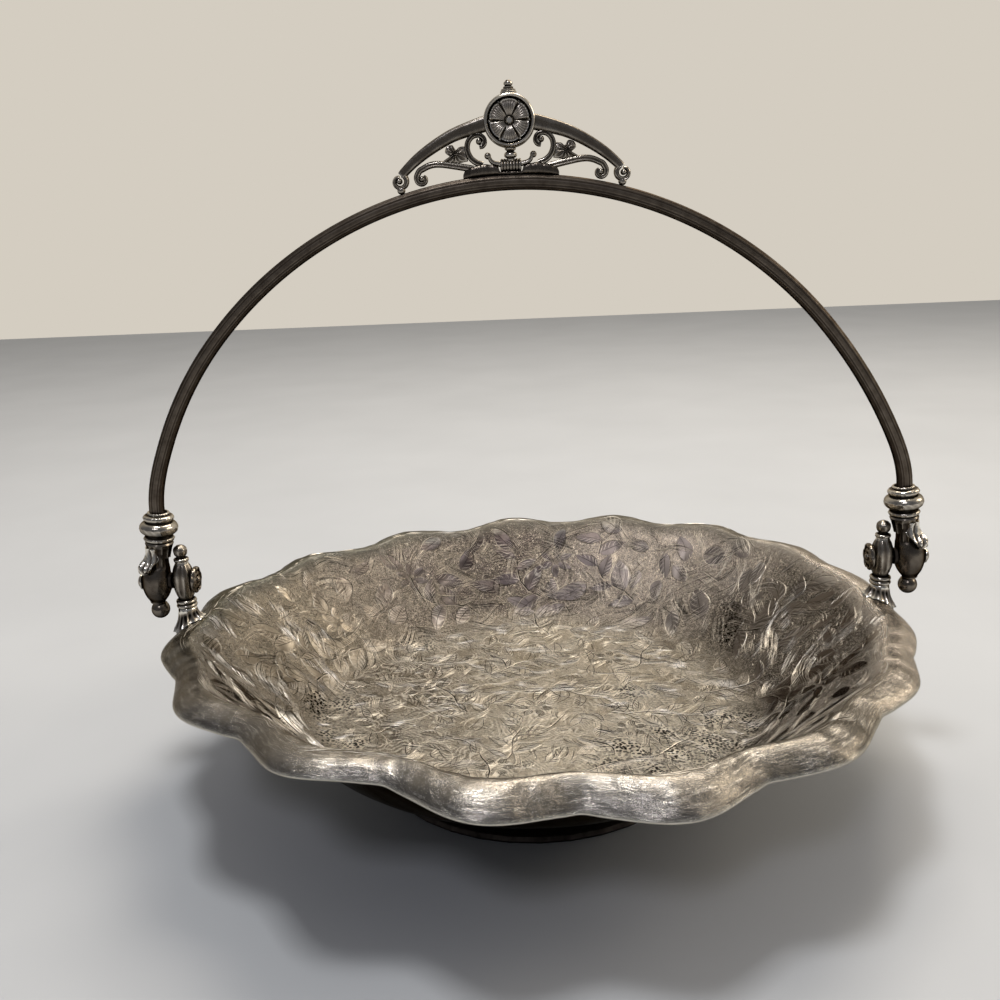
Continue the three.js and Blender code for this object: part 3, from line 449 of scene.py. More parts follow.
# Rubbing streaks that run along the rim: the noise lies on a cylinder, drawn out along the ring
RING_PULL, ACROSS_PULL = 0.12, 0.007
planar = add_node(tree, "ShaderNodeVectorMath", {"operation": "MULTIPLY"}, {0: (place, "Object"), 1: (1, 1, 0)})
unit = add_node(tree, "ShaderNodeVectorMath", {"operation": "NORMALIZE"}, {0: (planar, 0)})
around_ring = add_node(tree, "ShaderNodeVectorMath", {"operation": "SCALE"}, {0: (unit, 0), "Scale": RING_PULL})
across_mm = add_node(tree, "ShaderNodeMath", {"operation": "MULTIPLY"},
                     {0: (stored["sheet_mm"], "Fac"), 1: ACROSS_PULL})
across_ring = add_node(tree, "ShaderNodeCombineXYZ", {}, {2: (across_mm, 0)})
on_ring = add_node(tree, "ShaderNodeVectorMath", {}, {0: (around_ring, 0), 1: (across_ring, 0)})
streaks = add_node(tree, "ShaderNodeTexNoise", {}, {
    "Vector": (on_ring, 0), "Scale": 170.0, "Detail": 5.0, "Roughness": 0.7})

# Where each thing lies: straight ramps of a value from 0 at the first number to 1 at the second
reach = {}
for name, source, low, high in (
        ("wall", (stored["sheet_mm"], "Fac"), 70.0, 90.0),
        ("floor", (stored["sheet_mm"], "Fac"), 86.0, 74.0),
        ("rim", (stored["sheet_mm"], "Fac"), CREST_S - 8.0, CREST_S),
        ("inside", (stored["sheet_mm"], "Fac"), CREST_S, CREST_S - 8.0),
        ("lip", (stored["sheet_mm"], "Fac"), SHEET_LENGTH - 0.9, SHEET_LENGTH - 0.1),
        ("leaf", (stored["leaf"], "Fac"), 0.08, 0.3), ("ground", (stored["leaf"], "Fac"), 0.3, 0.05),
        ("soot", (stored["soot"], "Fac"), 0.0, 1.0), ("under", (stored["underside"], "Fac"), 0.0, 1.0),
        ("back", (spread, "Y"), 0.045, 0.1), ("front", (spread, "Y"), 0.0, -0.05),
        ("left_half", (spread, "X"), 0.0, -0.06), ("right_half", (spread, "X"), 0.0, 0.05),
        ("left", (spread, "X"), -0.02, -0.09), ("right", (spread, "X"), 0.03, 0.1),
        ("side", (spread, "Y"), 0.08, 0.03), ("hind", (spread, "Y"), -0.05, 0.0),
        ("aft", (spread, "Y"), -0.1, -0.05), ("fore", (spread, "Y"), -0.06, -0.1), ("swell", (noises["swelling"], 0), 0.35, 0.65),
        ("patch", (noises["cloudy"], 0), 0.5, 0.56), ("patches", (noises["patchy"], 0), 0.42, 0.5),
        ("clouds", (noises["cloudy"], 0), 0.38, 0.62), ("bloom", (noises["patchy"], 0), 0.36, 0.6),
        ("hollow", (noises["tooled"], 0), 0.52, 0.4), ("glint", (noises["tooled"], 0), 0.56, 0.63),
        ("cut_line", (hatched_by, 0), 0.6, 0.9), ("cut_shade", (hatched_by, 0), 0.4, 0.1),
        ("worn", (streaks, 0), 0.5, 0.64), ("pit", (cells, "Distance"), 0.52, 0.4)):
    reach[name] = add_node(tree, "ShaderNodeMapRange", {}, {"Value": source, "From Min": low, "From Max": high})

# The tones in the order they lie over each other: colour, strength, and the ramps it is shared by
tone = add_node(tree, "ShaderNodeMix", {"data_type": "RGBA"},
                {0: (reach["clouds"], 0), 6: linear(SATIN_CLEAN), 7: linear("c8bda9")})
shares = {}
for name, colour, strength, where in (
        ("front_floor", "efe7d8", 0.6, ("floor", "front")),
        ("left_floor", "5c5244", 0.72, ("floor", "left_half")),
        ("brown_wall", "999289", 1.0, ("wall",)),
        # Painted shade: the right wall and the front of the left wall are darkened.
        ("painted_shade_right_wall", "6a635b", 0.6, ("wall", "right", "side")),
        ("painted_shade_front_left_wall", "6b6255", 0.6, ("wall", "front", "left")),
        # Painted light: the left wall is lightened.
        ("painted_light_left_wall", "dcd0bb", 0.85, ("wall", "left", "hind")),
        ("bloom_back", "6b6063", 0.9, ("wall", "back", "bloom")),
        # Painted light: the back wall is lightened at its right and at its left.
        ("painted_light_back_right_wall", "e6dcd6", 0.95, ("wall", "back", "right_half")),
        ("painted_light_back_left_wall", "dcd3cb", 0.7, ("wall", "back", "left")),
        ("leaves", "5f5650", 0.5, ("leaf", "wall", "inside")),
        ("leaves_back", "3f373b", 0.7, ("leaf", "wall", "back")),
        # Painted shade: leaves on the front wall are darkened so that they catch less light.
        ("leaves_front_painted_shade", "3f3832", 0.75, ("leaf", "wall", "front")),
        ("grey_rim", "8c8780", 1.0, ("rim",)),
        ("back_rim", "656259", 0.9, ("rim", "back")),
        # Painted light and shade on the rim: lighter at the right, darker at the front right.
        ("right_rim_painted_light", "ddd3c8", 0.95, ("rim", "right", "side", "aft")),
        ("front_rim_painted_shade", "625e58", 0.88, ("rim", "fore", "right")),
        ("left_back_rim", "5a5c54", 0.9, ("rim", "left", "hind")),
        ("worn_rim", "dedad3", 0.5, ("rim", "worn", "bloom")),
        ("floor_hollows", SATIN_SOOT, 0.4, ("hollow", "floor")),
        ("wall_hollows", SATIN_SOOT, 0.4, ("hollow", "ground", "wall", "inside")),
        ("rim_hollows", SATIN_SOOT, 0.1, ("hollow", "rim")),
        ("floor_shade", SATIN_SOOT, 0.2, ("cut_shade", "floor", "patches")),
        ("wall_shade", SATIN_SOOT, 0.14, ("cut_shade", "wall", "inside", "patch")),
        ("floor_lines", "fffaf0", 0.65, ("cut_line", "floor", "patches")),
        ("wall_lines", "ece3d5", 0.22, ("cut_line", "wall", "inside", "patch")),
        ("floor_glints", "fffbf2", 1.0, ("glint", "floor")),
        ("wall_glints", "f6eddf", 0.8, ("glint", "ground", "wall", "inside")),
        ("hind_hollows", SATIN_SOOT, 0.4, ("hollow", "ground", "wall", "inside", "hind")),
        ("hind_glints", "fff3e2", 0.6, ("glint", "ground", "wall", "inside", "hind")),
        ("rim_swell", "8b857c", 0.2, ("swell", "rim")),
        ("stipple_ground", "fff8ea", 0.85, ("soot", "floor")),
        ("stipple", SATIN_SOOT, 1.0, ("pit", "soot", "inside")),
        # Painted highlight: a pale band along the rolled edge of the lip.
        ("lip_painted_highlight", "e2ddd0", 0.6, ("lip",)),
        # Painted shade: the underside is painted near-black, the shade under the bowl over its dull tarnish.
        ("underside", "2a2622", 1.0, ("under",))):
    share = add_node(tree, "ShaderNodeMath", {"operation": "MULTIPLY"}, {0: (reach[where[0]], 0), 1: strength})
    for other in where[1:]:
        share = add_node(tree, "ShaderNodeMath", {"operation": "MULTIPLY"},
                         {0: (share, 0), 1: (reach[other], 0)})
    shares[name] = share
    tone = add_node(tree, "ShaderNodeMix", {"data_type": "RGBA"},
                    {0: (share, 0), 6: (tone, 2), 7: linear(colour)})

# Unevenness too fine for the mesh: tooling, grain, rubbing streaks on the rim, punched pits
depth = add_node(tree, "ShaderNodeMath", {"operation": "MULTIPLY"}, {0: (noises["grain"], 0), 1: 0.25})
for name, weight in (("floor_hollows", -1.6), ("wall_hollows", -1.8), ("rim_hollows", -0.8), ("floor_glints", 1.2),
                     ("wall_glints", 1.2), ("hind_hollows", -1.6), ("hind_glints", 1.4), ("worn_rim", 0.3), ("stipple", -1.4), ("floor_lines", 0.6),
                     ("wall_lines", 0.6), ("floor_shade", -0.8), ("wall_shade", -0.8), ("rim_swell", 7.0)):
    depth = add_node(tree, "ShaderNodeMath", {"operation": "MULTIPLY_ADD"}, {0: (shares[name], 0), 1: weight, 2: (depth, 0)})
bumpy = add_node(tree, "ShaderNodeBump", {}, {"Height": (depth, 0), "Strength": 0.9, "Distance": 0.0003})
dull = add_node(tree, "ShaderNodeMapRange", {}, {
    "Value": (noises["patchy"], 0), "From Min": 0.3, "From Max": 0.7, "To Min": 0.28, "To Max": 0.44})
dull_rim = add_node(tree, "ShaderNodeMapRange", {}, {
    "Value": (shares["worn_rim"], 0), "From Max": 0.5, "To Min": 0.25, "To Max": 0.15})
gloss = add_node(tree, "ShaderNodeMix", {}, {0: (reach["rim"], 0), 2: (dull, 0), 3: (dull_rim, 0)})
gloss = add_node(tree, "ShaderNodeMix", {}, {0: (reach["back"], 0), 2: (gloss, 0), 3: 0.5})
# Painted shade: a darker edge tint dulls the grazing reflections of the engraved front and side walls
grazed = add_node(tree, "ShaderNodeMath", {"operation": "MULTIPLY"}, {0: (reach["wall"], 0), 1: (reach["inside"], 0)})
grazed = add_node(tree, "ShaderNodeMath", {"operation": "MULTIPLY"}, {0: (grazed, 0), 1: (reach["side"], 0)})
edge_tint_painted_shade = add_node(tree, "ShaderNodeMix", {"data_type": "RGBA"}, {
    0: (grazed, 0), 6: linear("b3aca2"), 7: linear("5f5850")})
plate = add_node(tree, "ShaderNodeBsdfPrincipled", {},
                 {"Base Color": (tone, 2), "Metallic": 1.0, "Roughness": (gloss, 0), "Normal": (bumpy, 0),
                  "Specular Tint": (edge_tint_painted_shade, 2)})
add_node(tree, "ShaderNodeOutputMaterial", {}, {"Surface": (plate, 0)})

dish = new_piece("dish", dish_points, dish_faces, satin, "basket", ["bowl"], sharp_deg=70)
on_lower = len(lower) + 1
write_attribute(dish, "sheet_mm", np.concatenate([s, np.full(len(lower), SHEET_LENGTH), [0.0]]))
write_attribute(dish, "leaf", np.concatenate([leaf_mask, np.zeros(on_lower)]))
write_attribute(dish, "soot", np.concatenate([soot, np.zeros(on_lower)]))
write_attribute(dish, "underside", np.concatenate([np.zeros(len(upper)), np.zeros(len(lip_turn) * around),
                                                   np.ones(on_lower - len(lip_turn) * around)]))


# Engraved strokes
# Cut by hand with a bright graver: each stroke tapers to a point at both ends, so it catches the
# light on one flank and stays dark on the other. They draw the leaves, flowers, stems and borders.
strokes, stroke_half, stroke_tone = [], [], []


def cut(lines, half_width, tone_value):
    """Keeps strokes, an array of (count, points, 2) on the flat sheet, with their width and tone."""
    lines = np.asarray(lines, float)
    strokes.append(lines)
    stroke_half.append(np.broadcast_to(half_width, len(lines)))
    stroke_tone.append(np.broadcast_to(tone_value, len(lines)))


def leaf_lines(shapes, u, v):
    """Points of leaves from their own coordinates: u from 0 to 1 along, v in half widths off the midrib."""
    cx, cy, heading, length, half, bend_by = (c[:, None] for c in shapes.T)
    along = u * length
    across = v * half * np.sin(math.pi * np.clip(u, 0, 1) ** 0.8) + bend_by * along * along / length
    return np.stack([cx + along * np.cos(heading) - across * np.sin(heading),
                     cy + along * np.sin(heading) + across * np.cos(heading)], axis=-1)


def sideways(lines):
    """The unit vector square to each line at each point."""
    along = np.gradient(lines, axis=1)
    return np.stack([-along[..., 1], along[..., 0]], axis=-1) / (np.hypot(along[..., 0], along[..., 1])[..., None] + 1e-9)


TONES, TONE_SHARES = (1.0, 0.6, 0.2, -0.8), (0.45, 0.2, 0.1, 0.25)


def combs(place, heading, length, turn, sway, gap, count):
    """Bundles of lines side by side, gap apart, the middle ones longest, cut like the teeth of a comb."""
    for n in range(count):
        off = n - (count - 1) / 2
        start = place + (off * gap)[:, None] * np.stack([-np.sin(heading), np.cos(heading)], axis=1)
        start = start + (0.4 * off * gap)[:, None] * np.stack([np.cos(heading), np.sin(heading)], axis=1)
        lines, _ = scroll_lines(start, heading, length * (1 - 0.6 * abs(off) / count), turn, sway)
        cut(lines, draw.uniform(0.085, 0.15, len(lines)), draw.choice(TONES, len(lines), p=TONE_SHARES))


t = np.linspace(0, 1, STROKE_POINTS)[None, :]
lit = np.where(draw.uniform(size=len(leaves)) > 0.5, 1, -1)[:, None]
cut(leaf_lines(leaves, t, 1.0 * lit), 0.19, 0.95)
cut(leaf_lines(leaves, t, -1.0 * lit), 0.19, -0.9)
cut(leaf_lines(leaves, t * 0.92, 0.0), 0.17, -0.8)
VEINS = 9
hatched = leaves[draw.uniform(size=len(leaves)) > 0.2]
flank = np.where(draw.uniform(size=len(hatched)) > 0.5, 1, -1)[:, None]
for i in range(VEINS):
    start = 0.06 + 0.72 * i / VEINS
    cut(leaf_lines(hatched, start + 0.2 * t, flank * 0.9 * t ** 0.7), 0.13, 0.9 - 1.7 * (i % 2))
cut(leaf_lines(petals, t, 1.0), 0.2, 0.9)
cut(leaf_lines(petals, t, -1.0), 0.2, -0.9)
for v in (-0.45, 0.0, 0.45):
    cut(leaf_lines(petals, 0.12 + 0.62 * t, v), 0.16, -0.9)
for stems in (wall_stems, floor_stems):
    cut(stems, 0.3, -0.9)
    cut(stems + 0.55 * sideways(stems), 0.16, 1.0)

# Bright-cut combs between the leaves: short hooks on the floor, long sweeps on the wall
for count, inner, outer, low, high, lines in ((250, 0, 80, 5, 13, 8), (300, 80, 136, 8, 24, 9)):
    place = spread_out(count, inner, outer, 5)
    heading = flow(*place.T) + draw.choice([0, math.pi], count) + draw.uniform(-0.7, 0.7, count)
    hand = np.where(draw.uniform(size=count) > 0.5, 1, -1)
    combs(place, heading, draw.uniform(low, high, count), hand * draw.uniform(0.2, 1.6, count), hand * draw.uniform(0, 0.5, count),
          draw.uniform(0.5, 0.8, count), lines)

# Set pieces: the long comb across the front of the floor, sweeps up the right and left walls, a fan
SWEEPS = np.array([[4, -60, 0.33, 52, 0.15, 0.2, 0.95], [70, 78, 0.15, 46, 0.5, -0.5, 1.15], [78, 66, 0.25, 40, 0.6, -0.6, 1.2],
                   [92, 8, 0.9, 46, -0.5, 0.5, 1.2], [98, -30, 1.1, 40, -0.3, 0.5, 1.1], [-84, 30, 2.3, 34, 0.7, -0.4, 1.1],
                   [-76, -38, 2.5, 44, -0.6, 0.5, 1.1], [-100, -20, 2.0, 36, -0.6, 0.4, 1.1], [60, -74, -0.3, 40, 0.8, -0.5, 1.1]])
combs(SWEEPS[:, :2], SWEEPS[:, 2], SWEEPS[:, 3], SWEEPS[:, 4], SWEEPS[:, 5], 0.55 * SWEEPS[:, 6], 17)
fan_turn = np.linspace(0, 2 * math.pi, 30, endpoint=False)
fan_in = np.full((30, 2), [60.0, 74.0]) + 1.5 * np.stack([np.cos(fan_turn), np.sin(fan_turn)], axis=1)
cut(scroll_lines(fan_in, fan_turn, 6 + 5 * np.abs(np.sin(2.5 * fan_turn)), 0 * fan_turn, 0 * fan_turn)[0], 0.17, 0.7 * np.cos(9 * fan_turn))

# Dark S-shaped stems on the floor, each with a bright flank: place, heading, length, turn and sway
STEMS = np.array([[-21, 50, -1.3, 24, 0.5, 0.5], [-12, 33, -0.5, 18, -0.3, 0.4], [5, 12, -0.9, 15, 0.4, -0.3], [-37, -25, -0.2, 20, -0.8, 0.3],
                  [-20, -33, -1.6, 26, 0.3, 0.4], [18, -30, -0.4, 16, -1.2, 0.3], [40, 22, 2.6, 22, 0.6, 0.5], [-52, 30, 0.6, 24, -0.5, 0.6],
                  [22, 56, 0.3, 22, -0.9, 0.3], [-60, -8, -0.8, 22, 0.9, 0.3], [52, -10, -1.1, 20, 0.9, -0.4], [2, -22, 0.5, 18, 1.1, 0.2]])
stems, _ = scroll_lines(STEMS[:, :2], STEMS[:, 2], STEMS[:, 3], STEMS[:, 4], STEMS[:, 5])
cut(stems, 0.32, -1.0)
cut(stems + 0.5 * sideways(stems), 0.15, 1.0)

# Dashes along the crest of the rim, and dotted borders at the floor's edge
dash_a = np.sort(draw.uniform(0, 2 * math.pi, 150))
dash_s = CREST_S + 0.5 + 2.6 * ripple(60 * np.cos(dash_a), 60 * np.sin(dash_a), 50, 41) + draw.uniform(-0.9, 0.9, 150)
dash_turn = (t - 0.5) * draw.uniform(3, 11, 150)[:, None] / CREST_S
cut(np.stack([dash_s[:, None] * np.cos(dash_a[:, None] + dash_turn), dash_s[:, None] * np.sin(dash_a[:, None] + dash_turn)], axis=-1),
    draw.uniform(0.1, 0.2, 150), draw.choice([1.0, 0.6], 150))
dot_a = np.concatenate([np.arange(b, b + 0.42, 0.016) for b in np.arange(0.2, 2 * math.pi, 0.9)])
dot_s = 80 + 2.5 * np.sin(3 * dot_a)
dot_u = (t - 0.5) * 0.9
cut(np.stack([(dot_s[:, None] + dot_u) * np.cos(dot_a)[:, None], (dot_s[:, None] + dot_u) * np.sin(dot_a)[:, None]],
             axis=-1), 0.26, -0.8)

STROKE_RISE, STROKE_ROOT = 0.11, -0.05
all_strokes = np.concatenate(strokes)
all_half, all_tone = np.concatenate(stroke_half), np.concatenate(stroke_tone)
inside = np.hypot(all_strokes[..., 0], all_strokes[..., 1]).max(axis=1) < CREST_S + 4
all_strokes, all_half, all_tone = all_strokes[inside], all_half[inside], all_tone[inside]

# Bright-cut silver: a mirror-like cut surface, or a cut filled with black tarnish, by its tone.
# The brightest strokes are also made partly non-metallic: their near-white colour is partly the
# bright cut metal and partly a painted glint.
bright_cut = bpy.data.materials.new("bright_cut_silver")
bright_cut.use_nodes = True
tree = bright_cut.node_tree
tree.nodes.clear()
place = add_node(tree, "ShaderNodeTexCoord", {}, {})
tone_in = add_node(tree, "ShaderNodeAttribute", {"attribute_name": "tone"}, {})
worn = add_node(tree, "ShaderNodeTexNoise", {}, {
    "Vector": (place, "Object"), "Scale": 160.0, "Detail": 3.0, "Roughness": 0.5})
worn_by = add_node(tree, "ShaderNodeMapRange", {}, {
    "Value": (worn, 0), "From Min": 0.35, "From Max": 0.65, "To Min": -0.4, "To Max": 0.2})
lightness = add_node(tree, "ShaderNodeMath", {}, {0: (tone_in, "Fac"), 1: (worn_by, 0)})
share = add_node(tree, "ShaderNodeMapRange", {}, {"Value": (lightness, 0), "From Min": -0.6, "From Max": 1.0})
cut_tone = add_node(tree, "ShaderNodeMix", {"data_type": "RGBA"},
                    {0: (share, 0), 6: linear("2b2620"), 7: linear("fff7ea")})
cut_gloss = add_node(tree, "ShaderNodeMapRange", {}, {
    "Value": (lightness, 0), "From Min": -0.5, "From Max": 0.8, "To Min": 0.5, "To Max": 0.3})
# Painted glint: the brightest strokes are less metallic, so their near-white colour shows bright whatever they reflect.
painted_glint_metallic = add_node(tree, "ShaderNodeMapRange", {}, {
    "Value": (lightness, 0), "From Min": 0.0, "From Max": 0.9, "To Min": 1.0, "To Max": 0.4})
graved = add_node(tree, "ShaderNodeBsdfPrincipled", {}, {
    "Base Color": (cut_tone, 2), "Metallic": (painted_glint_metallic, 0), "Roughness": (cut_gloss, 0), "Specular Tint": (cut_tone, 2)})
add_node(tree, "ShaderNodeOutputMaterial", {}, {"Surface": (graved, 0)})


def stroke_piece(name, lines, half, tones):
    """Each stroke is a slim closed ridge of three sides. Its half width goes as sin(pi t)^0.7."""
    count, points = lines.shape[:2]
    taper = np.clip(np.sin(math.pi * np.linspace(0.02, 0.98, points)), 0, 1) ** 0.7
    width = (half[:, None] * taper[None, :])[..., None]
    ground = relief(lines[..., 0], lines[..., 1])[0].reshape(count, points)
    left, right = lines + sideways(lines) * width, lines - sideways(lines) * width
    rise = STROKE_RISE * taper[None, :] * np.minimum(1, wall_share(lines[..., 0], lines[..., 1]))
    rings = np.stack([on_dish(left[..., 0], left[..., 1], ground + STROKE_ROOT),
                      on_dish(lines[..., 0], lines[..., 1], ground + rise),
                      on_dish(right[..., 0], right[..., 1], ground + STROKE_ROOT)], axis=2)
    index = np.arange(count * points * 3).reshape(count, points, 3)
    a, b = index[:, :-1], index[:, 1:]
    quads = np.stack([a, np.roll(a, -1, axis=2), np.roll(b, -1, axis=2), b], axis=-1).reshape(-1, 4)
    ends = np.concatenate([index[:, 0, ::-1], index[:, -1]])
    made = new_piece(name, rings.reshape(-1, 3), [*quads.tolist(), *ends.tolist()], bright_cut,
                     "basket", [], sharp_deg=50)
    write_attribute(made, "tone", np.repeat(tones, points * 3))


on_floor = np.hypot(all_strokes[:, 4, 0], all_strokes[:, 4, 1]) < 80
in_front = all_strokes[:, 4, 1] < 0
at_right = all_strokes[:, 4, 0] > 0


def in_painted_shade(lines):
    """True for strokes on the front and right walls, whose bright tones are cut down there as painted shade."""
    x, y = lines[:, 1, 0], lines[:, 1, 1]
    return (np.hypot(x, y) > 80) & ((y < 15) | ((x > 50) & (y < 50)))


# Painted shade: bright strokes on the front and right walls keep 0.35 of their tone.
all_tone = np.where(in_painted_shade(all_strokes) & (all_tone > 0), 0.35 * all_tone, all_tone)
for name, kept in (("engraving_floor_front", on_floor & in_front), ("engraving_floor_back", on_floor & ~in_front),
                   ("engraving_wall_front_right", ~on_floor & in_front & at_right),
                   ("engraving_wall_front_left", ~on_floor & in_front & ~at_right),
                   ("engraving_wall_back_right", ~on_floor & ~in_front & at_right),
                   ("engraving_wall_back_left", ~on_floor & ~in_front & ~at_right)):
    stroke_piece(name, all_strokes[kept], all_half[kept], all_tone[kept])

# Fine tool marks crowd the ground between the leaves, most of them along the flow
MARKS, MARK_POINTS = 9000, 4
place = spread_out(MARKS, 0, CREST_S - 4, 1.5)
place = place[pillows(*place.T)[1] < 0.1]
count = len(place)
heading = flow(*place.T) + draw.normal(0, 0.5, count) + math.pi / 2 * (ripple(*place.T, 24, 51) > 0)
marks, _ = scroll_lines(place, heading, draw.uniform(1.4, 4.2, count), draw.uniform(-0.8, 0.8, count), np.zeros(count), MARK_POINTS)
mark_tone = draw.choice([1.0, 0.5, 0.0, -0.9], count, p=[0.5, 0.15, 0.05, 0.3])
# Painted shade: bright tool marks on the front and right walls keep 0.35 of their tone.
mark_tone = np.where(in_painted_shade(marks) & (mark_tone > 0), 0.35 * mark_tone, mark_tone)
stroke_piece("engraving_ground", marks, draw.uniform(0.07, 0.14, count), mark_tone)


# Foot ring
# A low spreading foot, spun from the same plated metal and soldered under the floor. It shows
# only from low down, so its imported solid stays and gets a finish of its own: dark tarnish,
# made darker still as painted shade under the bowl.
def cast_finish(name, bright, base, dark, gloss, dull_gloss, with_hollow):
    """Plated metal whose hollows hold black tarnish and whose high points are rubbed bright."""
    made = bpy.data.materials.new(name)
    made.use_nodes = True
    tree = made.node_tree
    tree.nodes.clear()
    place = add_node(tree, "ShaderNodeTexCoord", {}, {})
    blotch = add_node(tree, "ShaderNodeTexNoise", {}, {"Vector": (place, "Object"), "Scale": 260.0, "Detail": 4.0, "Roughness": 0.6})
    pitted = add_node(tree, "ShaderNodeTexNoise", {}, {"Vector": (place, "Object"), "Scale": 1900.0, "Detail": 2.0})
    if with_hollow:
        hollow = add_node(tree, "ShaderNodeAttribute", {"attribute_name": "hollow"}, {})
        depth = (hollow, "Fac")
    else:
        depth = (blotch, 0)
    shifted = add_node(tree, "ShaderNodeMath", {"operation": "MULTIPLY_ADD"}, {0: (blotch, 0), 1: 0.5, 2: -0.25})
    level_in = add_node(tree, "ShaderNodeMath", {}, {0: depth, 1: (shifted, 0)})
    darkened = add_node(tree, "ShaderNodeMapRange", {}, {"Value": (level_in, 0), "From Min": 0.5, "From Max": 0.95})
    rubbed = add_node(tree, "ShaderNodeMapRange", {}, {"Value": (level_in, 0), "From Min": 0.5, "From Max": 0.12})
    mixed = add_node(tree, "ShaderNodeMix", {"data_type": "RGBA"}, {0: (rubbed, 0), 6: linear(base), 7: linear(bright)})
    colour = add_node(tree, "ShaderNodeMix", {"data_type": "RGBA"}, {0: (darkened, 0), 6: (mixed, 2), 7: linear(dark)})
    rough = add_node(tree, "ShaderNodeMapRange", {}, {"Value": (level_in, 0), "From Min": 0.2, "From Max": 0.9, "To Min": gloss, "To Max": dull_gloss})
    # Faces that point down are darkened towards the dark colour: painted shade.
    surface = add_node(tree, "ShaderNodeNewGeometry", {}, {})
    faces_by = add_node(tree, "ShaderNodeSeparateXYZ", {}, {0: (surface, "Normal")})
    downward_painted_shade = add_node(tree, "ShaderNodeMapRange", {}, {"Value": (faces_by, "Z"), "From Min": 0.0, "From Max": -0.6, "To Max": 0.65})
    colour = add_node(tree, "ShaderNodeMix", {"data_type": "RGBA"}, {0: (downward_painted_shade, 0), 6: (colour, 2), 7: linear(dark)})
    bump = add_node(tree, "ShaderNodeBump", {}, {"Height": (pitted, 0), "Strength": 0.25, "Distance": 0.00012})
    metal = add_node(tree, "ShaderNodeBsdfPrincipled", {},
                     {"Base Color": (colour, 2), "Metallic": 1.0, "Roughness": (rough, 0), "Normal": (bump, 0),
                      "Specular Tint": (colour, 2)})
    add_node(tree, "ShaderNodeOutputMaterial", {}, {"Surface": (metal, 0)})
    return made


# Painted shade: the foot's finish is dark brown-grey for the shade under the bowl; the pivot washers take it too.
foot_plate_painted_shade = cast_finish("spun_silver_plate_painted_shade", "57504a", "443e39", "26221f", 0.4, 0.6, False)
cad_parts["foot_ring"].data.materials.clear()
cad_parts["foot_ring"].data.materials.append(foot_plate_painted_shade)


# Lugs, one at each end
# Cast in white metal and soldered on the rim: a fluted skirt that follows the ruffles, a double
# ring, an egg-shaped body bored for the pivot, and a small urn. A pin with a rosette head holds it.
def half_turn(points, side):
    """The left fitting is the right one turned half round about Z."""
    return points * np.array([-1, -1, 1]) if side == "left" else points


def smooth_through(points, steps=7):
    """A Catmull-Rom curve through the points, with the end points repeated."""
    p = np.asarray(points, float)
    p = np.concatenate([2 * p[:1] - p[1:2], p, 2 * p[-1:] - p[-2:-1]])
    t = np.linspace(0, 1, steps, endpoint=False)[None, :, None]
    a, b, c, d = (p[i:len(p) - 3 + i, None, :] for i in range(4))
    curve = 0.5 * (2 * b + (c - a) * t + (2 * a - 5 * b + 4 * c - d) * t ** 2 + (3 * b - a - 3 * c + d) * t ** 3)
    return np.concatenate([curve.reshape(-1, p.shape[1]), p[-2:-1]])


def bead_arc(radius, height, size, steps=9):
    """Half-round moulding of a turned profile, from its lower to its upper edge."""
    t = np.radians(np.linspace(-90, 90, steps))
    return np.stack([radius + size * np.cos(t), height + size * np.sin(t)], axis=1)


def turned(profile, around=64, swell=None, shift=None):
    """Rings of a profile of (radius, height) turned about Z. swell(angle, height) scales the radius,
    and shift(height) moves a ring along X."""
    profile = np.asarray(profile, float)
    a = 2 * math.pi * np.arange(around)[None, :] / around
    r, z = profile[:, :1], profile[:, 1:]
    r = r * (1 if swell is None else swell(a, z))
    x = r * np.cos(a) + (0 if shift is None else shift(z))
    return np.stack([x, r * np.sin(a) * np.ones_like(x), z * np.ones_like(x)], axis=-1)


def closed_skin(rings):
    """Points and faces over rings of one count, with a fan over each end. Faces are turned outwards."""
    n, m = rings.shape[:2]
    points = np.concatenate([rings.reshape(-1, 3), rings[:1].mean(axis=1), rings[-1:].mean(axis=1)])
    index = np.arange(n * m).reshape(n, m)
    a, b = index[:-1], index[1:]
    quads = np.stack([a, np.roll(a, -1, axis=1), np.roll(b, -1, axis=1), b], axis=-1).reshape(-1, 4)
    low = np.stack([np.roll(index[0], -1), index[0], np.full(m, n * m)], axis=1)
    high = np.stack([index[-1], np.roll(index[-1], -1), np.full(m, n * m + 1)], axis=1)
    tris = np.concatenate([quads[:, [0, 1, 2]], quads[:, [0, 2, 3]], low, high])
    corner = points[tris]
    volume = np.einsum("ij,ij->i", corner[:, 0], np.cross(corner[:, 1], corner[:, 2])).sum()
    faces = [*quads.tolist(), *low.tolist(), *high.tolist()]
    return points, faces if volume > 0 else [f[::-1] for f in faces]


